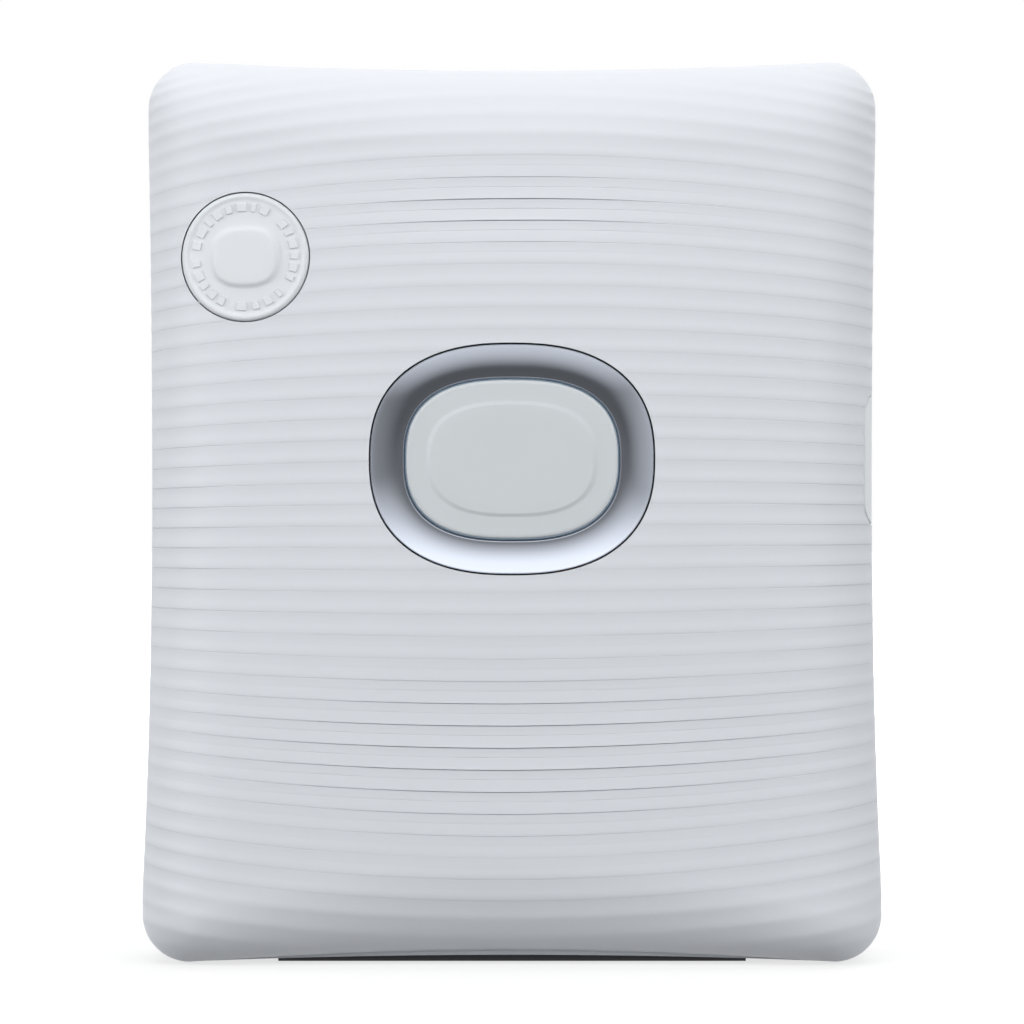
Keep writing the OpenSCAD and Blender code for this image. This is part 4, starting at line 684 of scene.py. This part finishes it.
# ---------------------------------------------------------------------------------------------
# The function button: a round white key that follows the cover's curve, with a bright bevelled
# rim, a raised square pad with soft corners, and a ring of small raised bars round the pad.
# ---------------------------------------------------------------------------------------------
def face_point(x, z, up):
    """A point at a place on the function button, raised from the curve of the front."""
    return (x + function_x, front_at(x + function_x, z + function_z) - up, z + function_z)


def face_ring(a, b, power, up):
    """A ring of the function button, raised from the curve of the front."""
    return [face_point(p[0], p[1], up) for p in oval(a, b, power, key_steps)]


key_steps = 144
pad_a, pad_b, pad_lift, pad_power, pad_foot_power = 4.5, 4.0, 0.6, 2.7, 2.6
pad_steps = ((-0.45, 0.97), (-0.22, 0.8), (-0.04, 0.4), (0.18, 0.08), (0.4, 0))
rim_steps = ((0.66, 0), (0.76, 0), (0.85, 0), (0.885, 0.01), (0.905, 0.12), (0.925, 0.22), (0.95, 0.24),
             (0.97, 0.15), (0.985, -0.03), (0.996, -0.2), (1.0, -0.45))
well_r, well_front_y, function_stem_y = 4.4, -12.9, -13.2
function_back_y = front_at(function_x - function_r, function_z) + 0.8
pad_rings = [face_ring(pad_a * s, pad_b * s, pad_power, pad_lift) for s in (0.02, 0.3, 0.6, 0.82)]
pad_rings += [face_ring(pad_a + out, pad_b + out, pad_foot_power, pad_lift * up) for out, up in pad_steps]
pad_rings += [face_ring(function_r * s, function_r * s, 2, up) for s, up in rim_steps]
pad_rings += [[(p[0] + function_x, function_back_y, p[1] + function_z)
               for p in oval(function_r, function_r, 2, key_steps)]]
function_key = lofted("function_key", pad_rings)
well_turn = oval(well_r, well_r, 2, key_steps, (function_x, function_z))
stem_turn = oval(stem_r, stem_r, 2, key_steps, (function_x, function_z))
function_well = lofted("well", [at_y(well_turn, well_front_y), at_y(well_turn, function_back_y + 1)])
joined(function_key, "DIFFERENCE", function_well)
function_stem = lofted("function_stem", [at_y(stem_turn, function_stem_y), at_y(stem_turn, stem_tip_y)])
joined(function_key, "UNION", function_stem)
smooth(function_key, 40)
button_white = moulded("button_white", (0.75, 0.775, 0.80), rough=0.34, grain=0.25, depth=0.004)
function_key.data.materials.append(button_white)
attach(function_key, "function_button")
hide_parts("function_button")

# The small raised bars, in four arcs: where each starts and ends in degrees, and its bars' half
# widths. A bar's foot is sunk into the button, and its top is narrower than its foot.
bar_r0, bar_r1, bar_up, bar_sunk, bar_bevel, bar_inset = 6.1, 7.3, 0.26, 0.1, 0.1, 0.7
bar_arcs = ((62, 172, (5, 3, 6, 4, 5, 3, 6, 5)), (-28, 46, (3, 5, 4, 6, 3, 5)),
            (-100, -44, (6, 4, 5, 3)), (-176, -114, (4, 6, 3, 5, 4)))
bar_section = ((bar_r0, -bar_sunk), (bar_r0 + bar_bevel, bar_up), (bar_r1 - bar_bevel, bar_up),
               (bar_r1, -bar_sunk))
bar_points, bar_faces = [], []
for arc_start, arc_end, widths in bar_arcs:
    gap = (arc_end - arc_start - sum(widths) * 2) / (len(widths) - 1)
    at = arc_start
    for width in widths:
        for ring_r, ring_up in bar_section:
            inset = bar_inset if ring_up > 0 else 0
            for a in (at + inset, at + width, at + 2 * width - inset):
                turn = math.radians(a)
                bar_points.append(face_point(ring_r * math.cos(turn), ring_r * math.sin(turn), ring_up))
        base = len(bar_points) - 12
        for a in (base, base + 1, base + 3, base + 4, base + 6, base + 7):
            bar_faces.append((a, a + 1, a + 4, a + 3))
        bar_faces += [(base, base + 3, base + 6, base + 9), (base + 2, base + 11, base + 8, base + 5)]
        bar_faces.append((base, base + 9, base + 10, base + 11, base + 2, base + 1))
        at += width * 2 + gap
function_bars = made("function_bars", bar_points, bar_faces)
function_bars.data.materials.append(button_white)
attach(function_bars, "function_button")

# ---------------------------------------------------------------------------------------------
# The latch: a smooth white strip let into the right side across the joint of the two halves.
# Its face carries on the side's curve, and it rocks on a steel pin to let the door go.
# ---------------------------------------------------------------------------------------------
side_in = 2


def side_at(y, z):
    """How far out the side's skin lies at a place."""
    rise = cover_depth - dome_h + dome_h * float(dome(np.float64(body_w / 2 - side_in), np.float64(z)))
    share = min(1.0, max(0.0, (seam_y - y) / rise))
    return float(half_width(np.float64(z))) - side_roll * (1 - math.sqrt(1 - share**2))


# A curved plate a little larger than the pad, which is then trimmed to its outline
latch_steps, trim_over, pad_under, pad_t = 28, 0.4, 0.02, 1.5
latch_skin = []
for j in range(latch_steps + 1):
    z = latch_z - latch_h / 2 - trim_over + (latch_h + 2 * trim_over) * j / latch_steps
    ys = [latch_y0 - trim_over + (latch_y1 - latch_y0 + 2 * trim_over) * i / latch_steps
          for i in range(latch_steps + 1)]
    latch_skin.append([(side_at(y, z) - pad_under, y, z) for y in ys]
                      + [(side_at(y, z) - pad_t, y, z) for y in ys[::-1]])
n = len(latch_skin[0])
latch_points = [p for ring in latch_skin for p in ring]
latch_faces = [(j * n + i, j * n + (i + 1) % n, (j + 1) * n + (i + 1) % n, (j + 1) * n + i)
               for j in range(latch_steps) for i in range(n)]
latch_faces += [tuple(range(n))[::-1], tuple(range(latch_steps * n, (latch_steps + 1) * n))]
latch_pad = made("latch_pad", latch_points, latch_faces)
latch_outline = rounded(latch_y0, latch_y1, latch_z - latch_h / 2, latch_z + latch_h / 2, latch_r)
joined(latch_pad, "INTERSECT", prism_x("latch_trim", latch_outline, notch_x, past_side_x))
smooth(latch_pad, 40)
# Its white is set brighter than the cover's, a painted highlight that makes up for the dimmer light falling
# on the side.
latch_white = moulded("latch_white", (0.80, 0.825, 0.85), rough=0.4)
latch_pad.data.materials.append(latch_white)
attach(latch_pad, "door_latch")

# The rocker behind it: an arm to the pin, a sleeve round the pin, and the hook that holds the door
def circle(r, x=0.0, z=0.0, steps=48):
    """A round outline, anticlockwise."""
    turns = [2 * math.pi * i / steps for i in range(steps)]
    return [(x + r * math.cos(turn), z + r * math.sin(turn)) for turn in turns]


def prism_z(name, outline, z0, z1):
    """A solid through an outline in X and Y (anticlockwise from above), from z0 up to z1."""
    n = len(outline)
    points = [(p[0], p[1], z0) for p in outline] + [(p[0], p[1], z1) for p in outline]
    sides = [(i, (i + 1) % n, n + (i + 1) % n, n + i) for i in range(n)]
    return made(name, points, [tuple(range(n))[::-1], tuple(range(n, 2 * n))] + sides)


def box_of(name, xs, ys, zs):
    """A plain block, only ever added to a moulding or cut from one."""
    return prism_z(name, [(xs[0], ys[0]), (xs[1], ys[0]), (xs[1], ys[1]), (xs[0], ys[1])], zs[0], zs[1])


pin_x, pin_y, pin_r, pin_slack = 44.1, 0.4, 0.75, 0.05
sleeve_r, rocker_half, arm_sink = 1.6, 4, 0.8
hook_x0, hook_x1, hook_tip_x, hook_y1 = 42.8, 44.0, 41.8, 10.6
skin_x = float(flank(np.float64(latch_z))) - arm_sink
rocker_z0, rocker_z1 = latch_z - rocker_half, latch_z + rocker_half
rocker = prism_z("latch_rocker", circle(sleeve_r, pin_x, pin_y), rocker_z0, rocker_z1)
hook_profile = [(hook_x0, pin_y - 1), (hook_x1, pin_y - 1), (hook_x1, hook_y1 - 0.6),
                (hook_x1 - 0.6, hook_y1), (hook_tip_x + 0.35, hook_y1), (hook_tip_x, hook_y1 - 0.4),
                (hook_tip_x, hook_y1 - 1.5), (hook_x0 - 0.3, hook_y1 - 1.5), (hook_x0, hook_y1 - 1.8)]
joined(rocker, "UNION",
       box_of("arm", (hook_x0, skin_x), (pin_y - 2.2, pin_y - 0.4), (rocker_z0, rocker_z1)),
       prism_z("hook", hook_profile, rocker_z0, rocker_z1))
rocker_bore = circle(pin_r + pin_slack, pin_x, pin_y)
joined(rocker, "DIFFERENCE", prism_z("pin_bore", rocker_bore, rocker_z0 - 1, rocker_z1 + 1))
smooth(rocker, 35)
rocker.data.materials.append(latch_white)
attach(rocker, "door_latch")
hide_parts("door_latch")

# ---------------------------------------------------------------------------------------------
# The back half of the case: a plain white shell with a soft edge all round its back, one wide
# doorway, recesses for its screws, a mouth for the charging plug and posts for the chassis.
# ---------------------------------------------------------------------------------------------
edge_in, edge_back = 3.1, 3.6
shell_rings = [at_y(loop(set_in, case_rise), seam_y + back)
               for set_in, back in ((0.25, 0), (0.04, 0.12), (0, 0.4))]
for degrees in range(0, 91, 9):
    turn = math.radians(degrees)
    shell_rings.append(at_y(loop(edge_in * (1 - math.cos(turn)), case_rise),
                            back_y - edge_back + edge_back * math.sin(turn)))
case_shell = lofted("case_shell", shell_rings)
joined(case_shell, "DIFFERENCE",
       prism_y("case_hollow", loop(wall, case_rise), seam_y - 1, back_y - 4.5),
       prism_y("back_hollow", loop(wall + 1.5, case_rise), back_y - 5, back_y - wall))

# Inside: hollow posts for the case's screws and the chassis, the hinge's blocks and the latch
# pin's lugs
case_screws = ((43.5, 117.3), (-43.5, 117.3), (36.0, 6.4), (-36.0, 6.4))
chassis_posts = ((-44.2, 24.0), (44.2, 24.0), (-44.2, 82.0), (44.2, 83.55))
opening_x0, opening_x1, opening_z0, opening_z1 = -44.4, 42.0, 10.5, 105.5
barrel_x, barrel_y, barrel_r, pin_reach = -42.6, 15.5, 1.5, 3.0
screw_post_r, chassis_post_r, hinge_half, lug_half = 2.6, 1.8, 2.2, 1.8
hinge_zs = ((opening_z0 - pin_reach - 1, opening_z0), (opening_z1, opening_z1 + pin_reach + 1))
lug_zs, lug_bore_z0, lug_bore_z1 = ((62.1, 64.3), (72.9, 75.1)), 62.7, 74.5
lug_x1 = float(flank(np.float64(latch_z))) - wall / 2
posts = [prism_y("screw_post", circle(screw_post_r, x, z), seam_y, back_y - 1.5) for x, z in case_screws]
posts += [prism_y("chassis_post", circle(chassis_post_r, x, z), -2.5, back_y - 1) for x, z in chassis_posts]
for zs in hinge_zs:
    posts.append(box_of("hinge_block", (barrel_x - hinge_half, barrel_x + hinge_half),
                        (barrel_y - 2.4, back_y - 0.5), zs))
for zs in lug_zs:
    posts.append(box_of("pin_lug", (pin_x - lug_half, lug_x1), (pin_y - lug_half, latch_y1 + 3), zs))
joined(case_shell, "UNION", *posts)

# What is cut from it: the doorway, the exit slot, the latch's hole, the plug's mouth, the foot's
# seat, the bores of the two pins, and the ways and wells of the screws
exit_w, exit_y0, exit_y1 = 77.0, -2.2, 4.2
usb_y, usb_z, usb_w, usb_d, usb_gap = 2.0, 40.5, 9.0, 3.2, 0.1
foot_w, foot_t, foot_y0, foot_y1 = 64.0, 1.4, seam_y + 0.3, back_y - 5
case_hole_x, screw_way_r, screw_well_r, post_way_r = 43.2, 1.2, 2.1, 1.0
plug_outline = rounded(usb_y - usb_d / 2 - usb_gap, usb_y + usb_d / 2 + usb_gap,
                       usb_z - usb_w / 2 - usb_gap, usb_z + usb_w / 2 + usb_gap, usb_d / 2)
opening_zs = (opening_z0, opening_z1)
openings = [
    box_of("doorway", (barrel_x, opening_x1), (back_y - 6, back_y + 1), opening_zs),
    box_of("barrel_way", (opening_x0, barrel_x + 1), (barrel_y - barrel_r - 0.3, back_y + 1), opening_zs),
    prism_z("hinge_bore", circle(pin_r, barrel_x, barrel_y), opening_z0 - pin_reach,
            opening_z1 + pin_reach),
    box_of("exit_slot", (-exit_w / 2, exit_w / 2), (exit_y0, exit_y1), (body_h - 6, body_h + 1)),
    prism_x("latch_hole", latch_window, case_hole_x, past_side_x),
    prism_z("latch_bore", circle(pin_r, pin_x, pin_y), lug_bore_z0, lug_bore_z1),
    prism_x("plug_mouth", plug_outline, -past_side_x, -45.2),
    box_of("foot_seat", (-foot_w / 2, foot_w / 2), (foot_y0, foot_y1), (-1, foot_t))]
for x, z in case_screws:
    openings += [prism_y("screw_way", circle(screw_way_r, x, z), seam_y - 1, 0.5),
                 prism_y("screw_well", circle(screw_well_r, x, z), -0.5, back_y + 1)]
openings += [prism_y("post_way", circle(post_way_r, x, z), -3.5, 2.5) for x, z in chassis_posts]
joined(case_shell, "DIFFERENCE", *openings)
smooth(case_shell, 30)
case_white = moulded("case_white", (0.60, 0.635, 0.675), rough=0.44, grain=0.3, depth=0.008)
case_shell.data.materials.append(case_white)
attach(case_shell, "printer_body")
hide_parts("rear_case")

# ---------------------------------------------------------------------------------------------
# The foot: a strip of near-black rubber glued into a shallow seat under the case, with low ridges
# along it and softly rounded edges. Where it shows below the front, its black is also painted shade under
# the case.
# ---------------------------------------------------------------------------------------------
ridges, foot_round, groove_h = 7, 0.4, 0.16
foot_edge = ((0, 0.45), (0.12, 0.18), (foot_round, 0.04))
ridge_pitch = (foot_y1 - foot_y0 - 2 * foot_round) / ridges
foot_profile = [(foot_y0, foot_t)] + [(foot_y0 + into, up) for into, up in foot_edge]
for i in range(ridges):
    a = foot_y0 + foot_round + (foot_y1 - foot_y0 - 2 * foot_round) * i / ridges
    b = a + ridge_pitch
    foot_profile += [(a + 0.25, 0.0), (b - 0.55, 0.0), (b - 0.4, groove_h), (b - 0.1, groove_h)]
foot_profile += [(foot_y1 - into, up) for into, up in foot_edge[::-1]] + [(foot_y1, foot_t)]
foot = prism_x("rubber_foot_and_shade", foot_profile, -foot_w / 2, foot_w / 2)
smooth(foot, 30)
# Near-black rubber. The black strip it shows below the front is also painted shade under the case.
foot_rubber = moulded("foot_rubber", (0.018, 0.018, 0.02), rough=0.8, grain=0.3, depth=0.02)
foot.data.materials.append(foot_rubber)
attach(foot, "printer_body")
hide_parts("foot_strip")

# ---------------------------------------------------------------------------------------------
# The film door: a flat white panel on a hinge barrel, flush in the doorway. It has soft edges,
# a rim inside, a thumb hollow by the latch, a smoked window and a keeper for the latch's hook.
# ---------------------------------------------------------------------------------------------
door_x1, door_z0, door_z1, door_t, door_rim = 41.6, 10.9, 105.1, 1.8, 1.4
door_corner, door_edge, rim_t = 0.8, 0.55, 1.2
door_in = back_y - door_t
rim_y = door_in - door_rim
keeper_x0, keeper_x1, keeper_y0, keeper_h = 39.8, 41.0, 7.2, 9.0
tooth_out, tooth_t = 0.4, 1.2
window_w, window_h, window_z = 22.0, 6.0, 84.0
door_posts, boss_r, boss_bore_r = ((-14.0, 60.0), (14.0, 60.0)), 2.4, 1.25


def soft_edge(y, inset):
    """A ring of the door's outline, set in on its three free sides."""
    return at_y(rounded(barrel_x, door_x1 - inset, door_z0 + inset, door_z1 - inset, door_corner), y)


door_rings = [soft_edge(door_in, 0)]
for degrees in range(0, 91, 15):
    turn = math.radians(degrees)
    door_rings.append(soft_edge(back_y - door_edge + door_edge * math.sin(turn),
                                door_edge * (1 - math.cos(turn))))
door_panel = lofted("door_panel", door_rings)
rim = box_of("rim", (barrel_x + 2, door_x1), (rim_y, door_in + 0.2), (door_z0, door_z1))
rim_in = box_of("rim_in", (barrel_x + 2 + rim_t, door_x1 - rim_t), (rim_y - 1, door_in + 1),
                (door_z0 + rim_t, door_z1 - rim_t))
joined(rim, "DIFFERENCE", rim_in)
keeper_zs = (latch_z - keeper_h / 2, latch_z + keeper_h / 2)
joined(door_panel, "UNION", rim,
       prism_z("barrel", circle(barrel_r, barrel_x, barrel_y), door_z0, door_z1),
       box_of("keeper", (keeper_x0, keeper_x1), (keeper_y0, door_in + 0.2), keeper_zs),
       box_of("tooth", (keeper_x1 - 0.1, keeper_x1 + tooth_out), (keeper_y0, keeper_y0 + tooth_t),
              keeper_zs),
       *[prism_y("post_boss", circle(boss_r, x, z), door_in - 1.6, door_in + 0.2) for x, z in door_posts])

# The thumb hollow, as ovals that grow from its floor out past the door's face
thumb_x, thumb_power = 34.6, 2.4
thumb_steps = ((2.0, 7.0, -0.75), (2.9, 8.0, -0.7), (3.5, 8.7, -0.5), (3.9, 9.1, -0.2), (4.15, 9.35, 0.05),
               (4.3, 9.5, 0.6))
thumb = disc("thumb", [at_y(oval(a, b, thumb_power, 96, (thumb_x, latch_z)), back_y + out)
                       for a, b, out in thumb_steps])
window_hole = rounded(-window_w / 2, window_w / 2, window_z - window_h / 2, window_z + window_h / 2,
                      window_h / 2 - 0.1)
barrel_bore = circle(pin_r + pin_slack, barrel_x, barrel_y)
joined(door_panel, "DIFFERENCE", thumb,
       prism_y("window_hole", window_hole, door_in - 1, back_y + 1),
       prism_z("pin_bore", barrel_bore, door_z0 - 1, door_z0 + pin_reach),
       prism_z("pin_bore", barrel_bore, door_z1 - pin_reach, door_z1 + 1),
       *[prism_y("post_bore", circle(boss_bore_r, x, z), door_in - 2, back_y - 0.5) for x, z in door_posts])
smooth(door_panel, 30)
door_panel.data.materials.append(case_white)
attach(door_panel, "film_door")
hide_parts("film_door")

# The window, a smoked clear plate with a softened outer edge, clipped into the door
pane_rings = []
for y, inset in ((back_y - 0.3, 0.35), (back_y - 0.36, 0.12), (back_y - 0.5, 0.0), (door_in + 0.1, 0.0)):
    pane_outline = rounded(-window_w / 2 + inset, window_w / 2 - inset, window_z - window_h / 2 + inset,
                           window_z + window_h / 2 - inset, window_h / 2 - 0.1 - inset)
    pane_rings.append(at_y(pane_outline, y))
pane = lofted("smoked_pane", pane_rings[::-1])
smooth(pane, 35)
window_smoke = moulded("window_smoke", (0.03, 0.032, 0.036), rough=0.12, grain=0.4, depth=0.0005, coat=0.5)
pane.data.materials.append(window_smoke)
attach(pane, "film_door")
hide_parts("door_window")

# ---------------------------------------------------------------------------------------------
# The works inside: chassis, rollers, gears, boards, battery and springs, each of its own metal,
# rubber, foam or plastic. They keep their drawn shapes, and so do the case's pins and screws.
# ---------------------------------------------------------------------------------------------
# Each finish: its name and colour, how rough it is, the pitch and depth of its grain in
# millimetres, its clear coat, and how far it is metal
inner_finishes = (
    ("silicone_dark", (0.035, 0.035, 0.04), 0.7, 0.2, 0.004, 0, 0),
    ("board_green", (0.015, 0.10, 0.045), 0.35, 0.5, 0.003, 0.3, 0),
    ("component_black", (0.02, 0.02, 0.022), 0.5, 0.15, 0.003, 0, 0),
    ("led_white", (0.85, 0.85, 0.72), 0.4, 0.2, 0.001, 0, 0),
    ("steel", (0.56, 0.57, 0.58), 0.28, 0.1, 0.001, 0, 1.0),
    ("motor_steel", (0.42, 0.43, 0.45), 0.38, 0.15, 0.002, 0, 1.0),
    ("foam_black", (0.015, 0.015, 0.015), 0.95, 0.35, 0.08, 0, 0),
    ("chassis_black", (0.028, 0.029, 0.032), 0.55, 0.3, 0.01, 0, 0),
    ("lens_glass", (0.45, 0.60, 0.72), 0.08, 0.5, 0.0003, 0.6, 0),
    ("roller_rubber", (0.03, 0.03, 0.032), 0.75, 0.25, 0.015, 0, 0),
    ("gear_nylon", (0.78, 0.76, 0.68), 0.45, 0.25, 0.003, 0, 0),
    ("brass", (0.70, 0.50, 0.20), 0.28, 0.1, 0.001, 0, 1.0),
    ("battery_foil", (0.42, 0.43, 0.45), 0.42, 0.8, 0.01, 0, 0.7),
    ("cable_amber", (0.55, 0.25, 0.05), 0.3, 0.3, 0.001, 0.4, 0),
    ("screw_dark", (0.10, 0.10, 0.11), 0.35, 0.12, 0.001, 0, 0.9))
finishes = {name: moulded(name, colour, rough, grain, depth, coat=coat, metal=metal)
            for name, colour, rough, grain, depth, coat, metal in inner_finishes}
finishes.update(
    cover_white=cover_white, case_white=case_white, latch_white=latch_white, button_white=button_white,
    button_grey=button_grey, dish_silver=dish_silver, guide_clear=guide_clear, foot_rubber=foot_rubber,
    window_smoke=window_smoke)
for part in frame["record"]["subparts"]:
    node = frame["nodes"][part["node"]]
    node.data.materials.clear()
    node.data.materials.append(finishes[part["material_slot"]])
    smooth(node, 30)
